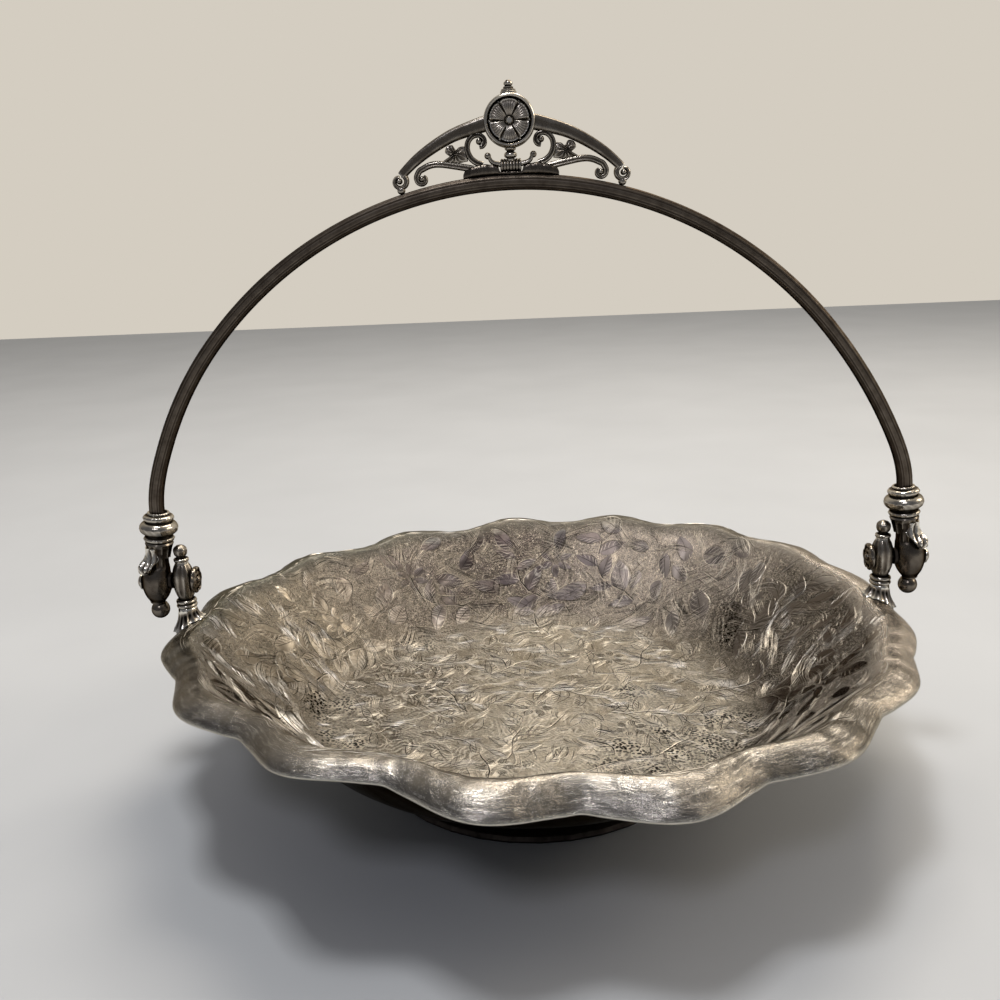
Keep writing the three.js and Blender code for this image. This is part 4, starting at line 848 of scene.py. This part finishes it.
def cast_piece(name, skins, finish, body, nodes, side="right", reach=8, depth_mm=0.22, sharp_deg=38.0):
    """One object from several closed skins, with the hollow attribute: how far a smoothed copy of the
    surface stands over it along the normal, 0.5 on flat metal and up to 1 in a hollow."""
    points, faces = [], []
    for rings in skins:
        p, f = closed_skin(half_turn(rings, side))
        base = sum(len(q) for q in points)
        faces += [[i + base for i in face] for face in f]
        points.append(p)
    points = np.concatenate(points)
    made = new_piece(name, points, faces, finish, body, nodes, sharp_deg)
    mesh = made.data
    edges = np.zeros(len(mesh.edges) * 2, np.int64)
    mesh.edges.foreach_get("vertices", edges)
    a, b = edges.reshape(-1, 2).T
    normals = np.zeros(len(points) * 3)
    mesh.vertices.foreach_get("normal", normals)
    normals = normals.reshape(-1, 3)
    degree = np.bincount(np.concatenate([a, b]), minlength=len(points))[:, None]
    smooth = points.copy()
    for _ in range(reach):
        total = np.stack([np.bincount(a, smooth[b, n], len(points)) + np.bincount(b, smooth[a, n], len(points))
                          for n in range(3)], axis=1)
        smooth = 0.4 * smooth + 0.6 * total / degree
    stands = ((smooth - points) * normals).sum(axis=1)
    write_attribute(made, "hollow", np.clip(0.5 + stands / depth_mm * 0.5, 0, 1))
    return made


cast_silver = cast_finish("cast_silver_plate_with_black_tarnish", "d2cbbf", "746c62", "14120f", 0.18, 0.48, True)
rubbed_silver = cast_finish("cast_silver_plate_rubbed_bright", "f2ede2", "a39a8f", "1d1a17", 0.2, 0.45, True)
dark_silver = cast_finish("cast_silver_plate_left_dark", "8f877c", "544d46", "14120f", 0.19, 0.42, True)
LUG_X, PIVOT_Z, COLLAR_Z, NECK_Z = 128.2, 75.0, 64.6, 82.2
INNER_FACE_X, OUTER_FACE_X = 124.4, 131.9
SKIRT_FLUTES = 14
HEAD_WIDER = 1.1


def rim_height(x, y):
    """Height of the dish's upper skin under each point: the skin's radius grows along its profile, so
    the profile is looked up by radius at each point's angle."""
    a, radius = np.arctan2(y, x).ravel(), np.hypot(x, y).ravel()
    s = np.linspace(100, SHEET_LENGTH, 160)
    skin = on_dish(s[None, :] * np.cos(a)[:, None], s[None, :] * np.sin(a)[:, None], 0.0)
    reach = np.hypot(skin[..., 0], skin[..., 1])
    at = np.clip((reach < radius[:, None]).sum(axis=1), 1, len(s) - 1)
    row = np.arange(len(a))
    span = np.clip((radius - reach[row, at - 1]) / (reach[row, at] - reach[row, at - 1]), 0, 1)
    return (skin[row, at - 1, 2] * (1 - span) + skin[row, at, 2] * span).reshape(np.shape(x))


def flute(count, depth, sharpness=1.0):
    """Scales a radius by hollows cut count times round it: 1 on the arrises, 1 - depth in the hollows."""
    return lambda a, z: 1 - depth * np.abs(np.sin(count * a / 2)) ** sharpness


for side in ("right", "left"):
    flip = -1 if side == "left" else 1
    drop = np.array([0, 0.06, 0.15, 0.28, 0.42, 0.56, 0.7, 0.82, 0.91, 0.97, 1.0, 1.0])
    wide = np.array([3.1, 3.35, 3.45, 3.62, 3.9, 4.3, 4.85, 5.45, 6.0, 6.25, 6.0, 3.0])
    ridged = np.interp(drop, [0, 0.15, 0.4, 1], [0, 0.0, 0.12, 0.13])[:, None]
    a = 2 * math.pi * np.arange(112)[None, :] / 112
    r = wide[:, None] * (1 - ridged * np.abs(np.sin(SKIRT_FLUTES * a / 2)) ** 0.7)
    x, y = LUG_X + r * np.cos(a), r * np.sin(a)
    seat = rim_height(flip * x, flip * y) + 0.05
    skirt = np.stack([x, y, COLLAR_Z - 0.1 + (seat - COLLAR_Z + 0.1) * drop[:, None]], axis=-1)
    cast_piece(f"{side}_fluted_skirt", [skirt], rubbed_silver, "basket", [f"{side}_lug_skirt"], side)

    body = np.concatenate([
        bead_arc(3.0, COLLAR_Z + 0.75, 0.78), [[2.85, COLLAR_Z + 1.6]], bead_arc(3.0, COLLAR_Z + 2.4, 0.75),
        [[2.6, COLLAR_Z + 3.3]],
        smooth_through([[2.7, 68.3], [3.35, 69.8], [4.0, 72.2], [4.2, 75], [4.0, 77.6], [3.3, 80.0], [2.5, 81.6]]),
        [[2.4, NECK_Z + 0.2]],
    ])

    def lug_lines(a, z):
        """Six broad facets with fine arrises on the egg, plain rings below."""
        return 1 - 0.085 * eased((z - 68) / 3) * np.abs(np.sin(3 * a)) ** 3 - 0.012 * eased((z - 68) / 3) * np.cos(12 * a)

    post = turned(body, 96, lug_lines)
    post[..., 0] = np.clip(post[..., 0] + LUG_X, INNER_FACE_X, OUTER_FACE_X)
    cast_piece(f"{side}_lug_body", [post], cast_silver, "basket", [f"{side}_lug_post"], side)

    z = NECK_Z + 0.1
    urn = np.concatenate([
        bead_arc(2.25, z + 0.75, 0.62), [[1.75, z + 1.5], [1.7, z + 1.9]],
        smooth_through([[1.8, z + 2.1], [2.35, z + 2.9], [2.6, z + 4.0], [2.45, z + 5.0], [1.7, z + 5.8], [1.2, z + 6.15]]),
        [[0.8, z + 6.3], [0.3, z + 6.45]],
    ])
    urn_rings = turned(urn, 56, flute(8, 0.05, 1.5)) + np.array([LUG_X, 0, 0])
    cast_piece(f"{side}_lug_urn", [urn_rings], cast_silver, "basket", [f"{side}_lug_finial"], side)

    # Rosette head: raised rim, six petals, a boss; it faces the bowl, and the shank runs out to the cap
    head = np.array([[3.0, 0.0], [4.4, 0.0], [4.5, 0.35], [4.5, 0.8], [4.3, 1.15], [3.9, 1.3], [3.6, 1.15], [3.45, 0.8],
                     [3.2, 0.75], [2.8, 1.1], [2.1, 1.35], [1.5, 1.15], [1.25, 0.95], [1.1, 1.4], [0.85, 1.85], [0.4, 2.05],
                     [0.08, 2.1]])

    def petalled(a, z):
        """Six notches between petals on the raised face only."""
        return 1 - 0.12 * (z > 0.7) * (z < 1.4) * np.abs(np.cos(3 * a)) ** 4

    disc = turned(head * np.array([HEAD_WIDER, 1]), 72, petalled)
    facing = np.stack([INNER_FACE_X - 0.25 - disc[..., 2], disc[..., 1], PIVOT_Z + disc[..., 0]], axis=-1)
    shank = turned([[1.5, 0], [1.5, 18.9]], 24)
    shank = np.stack([INNER_FACE_X - 0.5 + shank[..., 2], shank[..., 0], PIVOT_Z + shank[..., 1]], axis=-1)
    cast_piece(f"{side}_rosette_pin", [facing, shank], dark_silver, "basket", [f"{side}_pivot_pin"], side)

    cap = np.array([[2.2, 0.02], [2.9, 0.02], [3.0, 0.3], [2.9, 0.6], [2.5, 0.75], [2.3, 0.9], [2.0, 1.3], [1.4, 1.6],
                    [0.7, 1.75], [0.1, 1.8]])
    dome = turned(cap, 48)
    dome = np.stack([143.2 + dome[..., 2], dome[..., 0], PIVOT_Z + dome[..., 1]], axis=-1)
    cast_piece(f"{side}_domed_cap", [dome], cast_silver, "basket", [f"{side}_pivot_cap"], side)

    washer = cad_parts[f"{side}_pivot_washer"]
    washer.data.materials.clear()
    washer.data.materials.append(foot_plate_painted_shade)


# Terminals, one at each end of the bail
# Cast in white metal and threaded on the pivot outside the lug: a fluted shaft over a smooth
# pear, a leaf that curls off its outer front, a ball below, and a nest of rings that grips the bail.
TERMINAL_X, TILT, PEAR_OUT = 136.8, math.radians(5.5), 1.3
TERMINAL_INNER_X, TERMINAL_OUTER_X = 133.5, 142.9
LEAF_TURN = {"right": math.radians(-45), "left": math.radians(45)}  # both leaves face the front


def lean(points):
    """Puts points made about the pivot into the terminal's leaning frame."""
    x, y, z = points[..., 0], points[..., 1], points[..., 2]
    return np.stack([TERMINAL_X + x * math.cos(TILT) - z * math.sin(TILT), y,
                     PIVOT_Z + x * math.sin(TILT) + z * math.cos(TILT)], axis=-1)


for side in ("right", "left"):
    shaft = np.concatenate([
        smooth_through([[2.6, -8.5], [2.95, -7.6], [4.2, -5.6], [5.1, -3], [5.4, 0], [5.1, 2.6], [4.35, 4.6], [3.75, 6.2],
                        [3.7, 8], [4.0, 10.2], [4.6, 13.2]]),
        [[4.9, 14.2], [5.05, 14.9], [4.75, 15.5]],
    ])
    def shaft_flutes(a, z):
        """Twelve flutes on the shaft, none on the pear."""
        return 1 - 0.12 * eased((z - 5.2) / 1.6) * (1 - eased((z - 13.8) / 0.7)) * np.abs(np.sin(6 * a)) ** 0.8
    pear = turned(shaft, 120, shaft_flutes, lambda z: PEAR_OUT * (1 - eased((z - 2.5) / 4.5)))
    pear = lean(pear)
    near_pivot = np.abs(pear[..., 2] - PIVOT_Z) < 4.6
    pear[..., 0] = np.where(near_pivot, np.minimum(pear[..., 0], TERMINAL_OUTER_X), pear[..., 0])
    pear[..., 0] = np.maximum(pear[..., 0], np.where(pear[..., 2] < 84, TERMINAL_INNER_X, 0))
    cast_piece(f"{side}_fluted_terminal", [pear], dark_silver, "handle", [f"{side}_terminal"], side)

    drop_ball = np.concatenate([
        [[2.4, -8.7], [2.5, -8.95], [2.3, -9.2], [2.05, -9.35]],
        np.stack([3.35 * np.sin(np.radians(np.linspace(42, 178, 22))), 3.35 * np.cos(np.radians(np.linspace(42, 178, 22))) - 11.2], axis=1),
    ])
    ball = lean(turned(drop_ball, 56)) + np.array([0.4, 0, 0])
    cast_piece(f"{side}_drop_ball", [ball], dark_silver, "handle", [f"{side}_pendant_ball"], side)

    rings = np.concatenate([
        [[4.4, 15.7]], bead_arc(4.75, 16.7, 0.75), [[4.5, 17.7], [4.45, 18.1]], bead_arc(4.5, 20.8, 2.35, 17),
        [[4.45, 23.3], [4.4, 23.5]], bead_arc(4.45, 24.55, 1.05), [[3.9, 25.8]], bead_arc(3.6, 26.25, 0.42, 7),
        [[3.2, 26.7], [3.15, 24.0]],
    ])
    def milled(a, z):
        """Beads on the narrow rings and slanting cuts on the broad one."""
        narrow = np.exp(-((z - 16.7) / 0.6) ** 2) + np.exp(-((z - 24.6) / 0.8) ** 2) + np.exp(-((z - 26.25) / 0.4) ** 2)
        broad = np.exp(-((z - 20.4) / 1.3) ** 2)
        return 1 - 0.035 * narrow * np.abs(np.sin(9 * a)) - 0.02 * broad * np.abs(np.sin(8 * a + 0.9 * (z - 20.8)))
    collar = lean(turned(rings, 144, milled))
    cast_piece(f"{side}_ring_collar", [collar], cast_silver, "handle", [f"{side}_socket_collar"], side)

    # Leaf: a blade wrapped round the outer front of the shaft, ribbed, lobed, and rolled at its tip
    spine = smooth_through([[4.55, 13.6], [4.35, 12.0], [4.6, 10.2], [5.5, 8.3], [6.7, 6.9], [7.35, 5.7], [7.2, 4.6], [6.4, 4.3],
                            [6.0, 5.0], [6.3, 5.6]], 6)
    n = len(spine)
    t = np.linspace(0, 1, n)[:, None]
    half = (0.8 + 3.7 * np.sin(math.pi * np.clip(t * 1.2 + 0.14, 0, 1)) ** 0.8 * (1 + 0.12 * np.cos(26 * t))
            + 1.3 * eased((t - 0.55) / 0.25))
    around_a = 2 * math.pi * np.arange(40)[None, :] / 40
    v = np.sin(around_a) * half
    thick = (0.42 + 0.12 * np.cos(around_a * 2)) * np.cos(around_a) + 0.25 * np.exp(-(v / 0.5) ** 2) * (np.cos(around_a) > 0)
    tangent = np.gradient(spine, axis=0)
    tangent /= np.hypot(tangent[:, 0], tangent[:, 1])[:, None]
    outx, outz = -tangent[:, 1:2], tangent[:, 0:1]
    lift = thick + 0.27 * np.cos(3.2 * np.abs(v) - 14 * t)
    radial, wrap = spine[:, :1] + outx * lift, v / spine[:, :1] + LEAF_TURN[side]
    blade = np.stack([radial * np.cos(wrap), radial * np.sin(wrap), spine[:, 1:] + outz * lift], axis=-1)
    cast_piece(f"{side}_curled_leaf", [lean(blade)], rubbed_silver, "handle", [f"{side}_acanthus_leaf"], side)


# Bail
# A drawn strip of nickel silver, reeded along both faces, plated, and bent to an arch. Its ends
# are soldered in the ring collars. Use has bent it a little to the left and left it gunmetal.
ARCH_HALF, ARCH_HIGH, ARCH_CENTRE_Z, ARCH_JOIN_Z = 141.5, 149.2, 61.2, 126.0
BAIL_END, BAIL_RADIAL, BAIL_ACROSS = np.array([134.5, 98.3]), 2.6, 2.3
ARCH_LEAN, LEAN_START_Z, LEAN_RISE = -1.8, 98.9, 60.0

join_angle = math.asin((ARCH_JOIN_Z - ARCH_CENTRE_Z) / ARCH_HIGH)
a = np.linspace(math.pi - join_angle, join_angle, 330)
arch = np.stack([ARCH_HALF * np.cos(a), ARCH_CENTRE_Z + ARCH_HIGH * np.sin(a)], axis=1)
leave = np.array([ARCH_HALF * math.sin(join_angle), -ARCH_HIGH * math.cos(join_angle)])
leave /= np.hypot(*leave)
arrive = np.array([-math.sin(TILT), -math.cos(TILT)])
t = np.linspace(0, 1, 26)[1:, None]
reach = np.hypot(*(BAIL_END - arch[-1]))
tail = ((2 * t ** 3 - 3 * t ** 2 + 1) * arch[-1] + (t ** 3 - 2 * t ** 2 + t) * reach * leave
        + (3 * t ** 2 - 2 * t ** 3) * BAIL_END + (t ** 3 - t ** 2) * reach * arrive)
bail_line = np.concatenate([tail[::-1] * np.array([-1, 1]), arch, tail])
bail_line[:, 0] += ARCH_LEAN * eased((bail_line[:, 1] - LEAN_START_Z) / LEAN_RISE)


def swept(line, section, stretch=None):
    """Rings of a section of (across, y) carried along a line in the XZ plane. across lies in the plane,
    square to the line; stretch scales the section at each point."""
    tangent = np.gradient(line, axis=0)
    tangent /= np.hypot(tangent[:, 0], tangent[:, 1])[:, None]
    scale = np.ones((len(line), 2)) if stretch is None else stretch
    across = section[None, :, 0] * scale[:, :1]
    y = section[None, :, 1] * scale[:, 1:]
    return np.stack([line[:, :1] - tangent[:, 1:] * across, y, line[:, 1:] + tangent[:, :1] * across], axis=-1)


def boxed(count, power, groove=0.0, reeds=0.0):
    """A section of unit half sizes: a superellipse of that power. A groove runs down the middle of both
    flat faces, and reeds are ridges cut side by side into them."""
    a = 2 * math.pi * (np.arange(count) + 0.5) / count
    x = np.sign(np.cos(a)) * np.abs(np.cos(a)) ** (2 / power)
    y = np.sign(np.sin(a)) * np.abs(np.sin(a)) ** (2 / power)
    flat = eased((np.abs(y) - 0.5) / 0.3)
    y = y * (1 - groove * flat * np.exp(-(x / 0.3) ** 2) - reeds * flat * (0.5 + 0.5 * np.cos(2 * math.pi * 2.75 * x)))
    return np.stack([x, y], axis=1)


strip = boxed(88, 3.2, 0.0, 0.06) * np.array([BAIL_RADIAL - 0.05, BAIL_ACROSS])
gunmetal = cast_finish("drawn_reeded_strip_gunmetal_tarnish", "8a8074", "544b42", "1b1714", 0.36, 0.52, True)
cast_piece("reeded_bail", [swept(bail_line, strip)], gunmetal, "handle", ["bail"],
           reach=5, depth_mm=0.12)


# Crest
# Cast in white metal and soldered on the top of the bail: a saddle with a ribbed barrel, a drum
# with a rosette on each face, a stepped finial, and on each side a horn, scrolls and a leaf.
DRUM_Z, DRUM_R = 229.5, 8.5


def about_y(rings, centre_z):
    """Turns rings made about Z so that their top faces the viewer, and lifts them to a height."""
    return np.stack([rings[..., 0], -rings[..., 2], rings[..., 1] + centre_z], axis=-1)


def crest_piece(name, skins, node, side="right", reach=8, depth_mm=0.22, finish=cast_silver):
    """A casting of the crest: made about the bail's middle, turned for its side, moved with the arch."""
    moved = [half_turn(rings, side) + np.array([ARCH_LEAN, 0, 0]) for rings in skins]
    return cast_piece(name, moved, finish, "handle", [node], reach=reach, depth_mm=depth_mm)


drum_edge = [[7.1, 2.7], [7.35, 3.1], [7.8, 3.2], [8.15, 3.0], [8.35, 2.6], [8.35, 2.2], [8.0, 1.9], [8.0, 1.2], [8.4, 0.9],
             [8.5, 0.4]]
drum = np.array([[3.0, 1.6], [7.05, 1.6], *drum_edge])
drum = np.concatenate([drum * np.array([1, -1]), drum[::-1]])
crest_piece("roundel", [about_y(turned(drum, 128), DRUM_Z)], "roundel_drum")

petal_r = np.linspace(0.12, 1, 22)
a = 2 * math.pi * np.arange(180)[None, :] / 180
between_petals = np.abs(np.cos(3 * a))
outline = 7.08 * (1 - 0.05 * between_petals ** 8)
r = petal_r[:, None] * outline
dome_by = np.clip(1 - ((petal_r[:, None] - 0.6) / 0.42) ** 2, 0, 1)
veins = 0.06 * np.cos(42 * a) * eased((petal_r[:, None] - 0.3) / 0.2) * (1 - between_petals ** 8)
ball_h = 1.0 * np.sqrt(np.clip(1 - (r / 1.35) ** 2, 0, 1))
boss = 1.25 * ball_h
roll_edge = 0.3 * np.exp(-((petal_r[:, None] - 0.92) / 0.05) ** 2)
height = 0.25 + (0.75 * dome_by + roll_edge) * (1 - 0.95 * between_petals ** 40) + veins * dome_by + boss
face_rings = np.stack([r * np.cos(a), r * np.sin(a), height + 1.62], axis=-1)
back_ring = np.stack([outline * np.cos(a), outline * np.sin(a), np.full(a.shape, 1.4)], axis=-1)
flower = about_y(np.concatenate([face_rings, back_ring]), DRUM_Z)
crest_piece("front_rosette", [flower], "rosette_front", reach=6, depth_mm=0.16, finish=rubbed_silver)
crest_piece("back_rosette", [flower], "rosette_back", "left", reach=6, depth_mm=0.16, finish=rubbed_silver)

z = DRUM_Z + DRUM_R
finial = [[1.9, z - 0.4], [2.6, z - 0.2], [2.65, z + 0.35], [2.3, z + 0.6], [2.35, z + 1.0], [1.9, z + 1.2],
          [1.6, z + 1.3], [1.65, z + 1.8], [1.2, z + 2.0], [1.0, z + 2.1], [1.35, z + 2.35], [1.5, z + 2.8],
          [1.35, z + 3.25], [0.85, z + 3.5], [0.8, z + 3.75], [0.5, z + 3.92], [0.1, z + 3.95]]
crest_piece("stepped_finial", [turned(finial, 40)], "crest_finial")

z = 217.6
neck = [[1.5, z - 0.5], [1.55, z], [1.3, z + 0.25], *bead_arc(1.15, z + 1.35, 1.0), [1.3, z + 2.6], [1.7, z + 2.9],
        [1.9, z + 3.4], [1.4, z + 4.0]]
crest_piece("ball_neck", [turned(neck, 48)], "crest_neck")

# Barrel: seven round ribs side by side along X
x = np.linspace(-3.5, 3.5, 85)
rib = 0.26 * np.abs(np.sin(math.pi * (x + 3.5) / 1.0)) ** 0.6
ends = np.clip((3.5 - np.abs(x)) / 0.25, 0, 1) ** 0.5
barrel = np.stack([1.42 * (0.6 + 0.4 * ends) + rib * ends, x], axis=1)
rings = turned(barrel, 48)
rings = np.stack([rings[..., 2], 1.3 * rings[..., 0], 215.6 + 1.35 * rings[..., 1]], axis=-1)
crest_piece("ribbed_barrel", [rings], "crest_barrel", reach=5, depth_mm=0.14)


def bail_top(x):
    """Height of the bail's outer face over a distance from the middle."""
    return ARCH_CENTRE_Z + (ARCH_HIGH + BAIL_RADIAL) * np.sqrt(1 - (x / (ARCH_HALF + BAIL_RADIAL)) ** 2)


# Saddle: its section follows the bail below and a leafy outline above
x = np.linspace(-15.8, 15.8, 241)
top = np.interp(np.abs(x), [0, 3.6, 4.1, 5.5, 8, 10, 12, 14, 15.2, 15.8],
                [213.8, 213.8, 215.3, 216.0, 216.3, 216.2, 215.7, 215.2, 214.5, 213.2])
top = top + 0.1 * np.abs(np.sin(0.9 * x)) * (np.abs(x) > 4)
low = bail_top(x) - 0.15
section = boxed(48, 3.4)
mid, tall = ((top + low) / 2)[:, None], ((top - low) / 2)[:, None]
scallop = (1 - 0.05 * np.abs(np.cos(0.9 * x)) ** 4 - 0.02 * np.abs(np.cos(2.6 * x + 1)) ** 4)[:, None]
taper = (0.55 + 0.45 * eased((15.8 - np.abs(x)) / 3))[:, None]
saddle = np.stack([x[:, None] * np.ones((1, 48)), 2.25 * scallop * taper * section[None, :, 1],
                   mid + tall * section[None, :, 0]], axis=-1)
crest_piece("leafy_saddle", [saddle], "crest_saddle", finish=dark_silver)


def spiral_line(eye, start, end, radius_at, steps=60):
    """A spiral about an eye in the XZ plane, from start to end in degrees."""
    angle = np.linspace(start, end, steps)
    r = radius_at(angle)
    return np.stack([eye[0] + r * np.cos(np.radians(angle)), eye[1] + r * np.sin(np.radians(angle))], axis=1)


def eye_ball(eye, radius, depth):
    """A rounded boss through the eye of a scroll, its domes facing front and back."""
    t = np.radians(np.linspace(-86, 86, 17))
    profile = np.stack([radius * np.cos(t) ** 0.6, depth * np.sin(t)], axis=1)
    return about_y(turned(profile, 32), eye[1]) + np.array([eye[0], 0, 0])


def leaf_pad(outline, depth, veins):
    """A cast leaf: rings shrink from its outline to its middle, front and back, with height
    depth * sqrt(1 - t^2) and ridges that run out from the middle."""
    outline = np.asarray(outline, float)
    closed = smooth_through(np.concatenate([outline, outline[:1]]), 9)[:-1]
    middle = closed.mean(axis=0)
    t = np.concatenate([np.linspace(0.06, 1, 14), np.linspace(1, 0.06, 14)[1:]])[:, None]
    face = np.concatenate([-np.ones(14), np.ones(13)])[:, None]
    xz = middle + t[..., None] * (closed - middle)[None]
    angle = np.arctan2(closed[:, 1] - middle[1], closed[:, 0] - middle[0])[None, :]
    high = depth * (0.35 + 0.65 * np.sqrt(np.clip(1 - t ** 2, 0, 1))) + veins * np.cos(11 * angle) * t * (1 - t) * 3
    high = np.where(t > 0.995, depth * 0.2, high)
    return np.stack([xz[..., 0], face * high, xz[..., 1]], axis=-1)


HORN_EYE, ARM_EYE, C_EYE = (37.0, 212.1), (29.45, 212.5), (10.15, 223.5)
for side in ("right", "left"):
    horn_line = smooth_through([[7.2, 229.0], [8.5, 228.75], [13.5, 227.4], [18.7, 225.7], [23.6, 223.3], [28.4, 220.4],
                                [32.2, 217.6], [35.0, 215.1], [36.3, 213.8]], 8)
    n = len(horn_line)
    t = np.linspace(0, 1, n)
    half = np.interp(t, [0, 0.15, 0.35, 0.6, 0.85, 1], [2.5, 2.45, 2.1, 1.8, 1.5, 1.4])
    deep = np.interp(t, [0, 0.5, 1], [2.0, 1.9, 1.7])
    blade = swept(horn_line, boxed(56, 3.6, 0.05), np.stack([half, deep], axis=1))
    volute = spiral_line(HORN_EYE, 118, 450, lambda v: 2.35 - 1.0 * eased((v - 170) / 300), 90)
    roll_size = np.stack([np.linspace(0.95, 0.55, 90), np.linspace(1.8, 2.05, 90)], axis=1)
    roll = swept(volute, boxed(28, 2.4, 0.15), roll_size)
    horn_skins = [blade, roll, eye_ball(HORN_EYE, 1.0, 2.35), eye_ball((36.6, 209.2), 1.35, 1.8)]
    crest_piece(f"{side}_horn_cast", horn_skins, f"{side}_horn", side)

    curl_turn = np.array([96, 74, 50, 25, 0, -30, -60, -90, -125, -160, -200, -240])
    curl_r = np.interp(-curl_turn, [-96, -50, 0, 90, 180, 255], [3.2, 2.15, 1.75, 1.5, 1.2, 0.9])
    curl = np.array(ARM_EYE) + curl_r[:, None] * np.stack([np.cos(np.radians(curl_turn)), np.sin(np.radians(curl_turn))], axis=1)
    stem = np.array([[12.4, 215.0], [14.8, 215.5], [18.5, 216.2], [22.4, 216.85], [25.2, 216.95], [27.3, 216.5]])
    arm_line = smooth_through(np.concatenate([stem, curl]), 7)
    arm_half = np.interp(np.linspace(0, 1, len(arm_line)), [0, 0.3, 0.6, 1], [1.15, 1.05, 0.95, 0.65])
    arm = swept(arm_line, boxed(28, 2.6, 0.25), np.stack([arm_half, np.full(len(arm_line), 1.45)], axis=1))
    crest_piece(f"{side}_arm_cast", [arm, eye_ball(ARM_EYE, 1.0, 1.85)], f"{side}_scroll_arm", side, reach=5, depth_mm=0.16)

    c_line = smooth_through([[9.2, 216.2], [11.2, 216.9], [13.1, 218.5], [14.1, 221], [13.8, 223.4], [12.3, 225.1],
                             [10.2, 225.5], [8.7, 224.6], [8.3, 223.1], [9.0, 222.0], [10.1, 221.75]], 10)
    c_half = np.linspace(1.05, 0.68, len(c_line))
    c_roll = swept(c_line, boxed(32, 2.8, 0.3), np.stack([c_half, np.full(len(c_line), 1.5)], axis=1))
    crest_piece(f"{side}_c_cast", [c_roll, eye_ball(C_EYE, 1.05, 1.95)], f"{side}_c_scroll", side, reach=5, depth_mm=0.16)

    leaf = leaf_pad([[14.0, 217.5], [17.5, 217.0], [20.2, 217.3], [22.6, 217.5], [20.9, 218.7], [20.2, 219.3],
                     [21.5, 220.6], [20.9, 222.3], [19.0, 222.8], [17.9, 221.3], [16.7, 222.1], [15.1, 222.2],
                     [14.4, 220.6], [14.2, 219.0]], 1.35, 0.24)
    crest_piece(f"{side}_leaf_cast", [leaf], f"{side}_crest_leaf", side, reach=5, depth_mm=0.16)

    sprig = smooth_through([[3.3, 216.1], [5.2, 216.5], [6.4, 217.2], [7.0, 218.4]], 7)
    sprig_half = np.stack([np.linspace(0.9, 0.62, len(sprig)), np.full(len(sprig), 1.15)], axis=1)
    sprig_skins = [swept(sprig, boxed(20, 2.2), sprig_half), eye_ball((7.5, 218.9), 1.1, 1.4)]
    crest_piece(f"{side}_curl_cast", sprig_skins, f"{side}_crest_curl", side, reach=5, depth_mm=0.16)
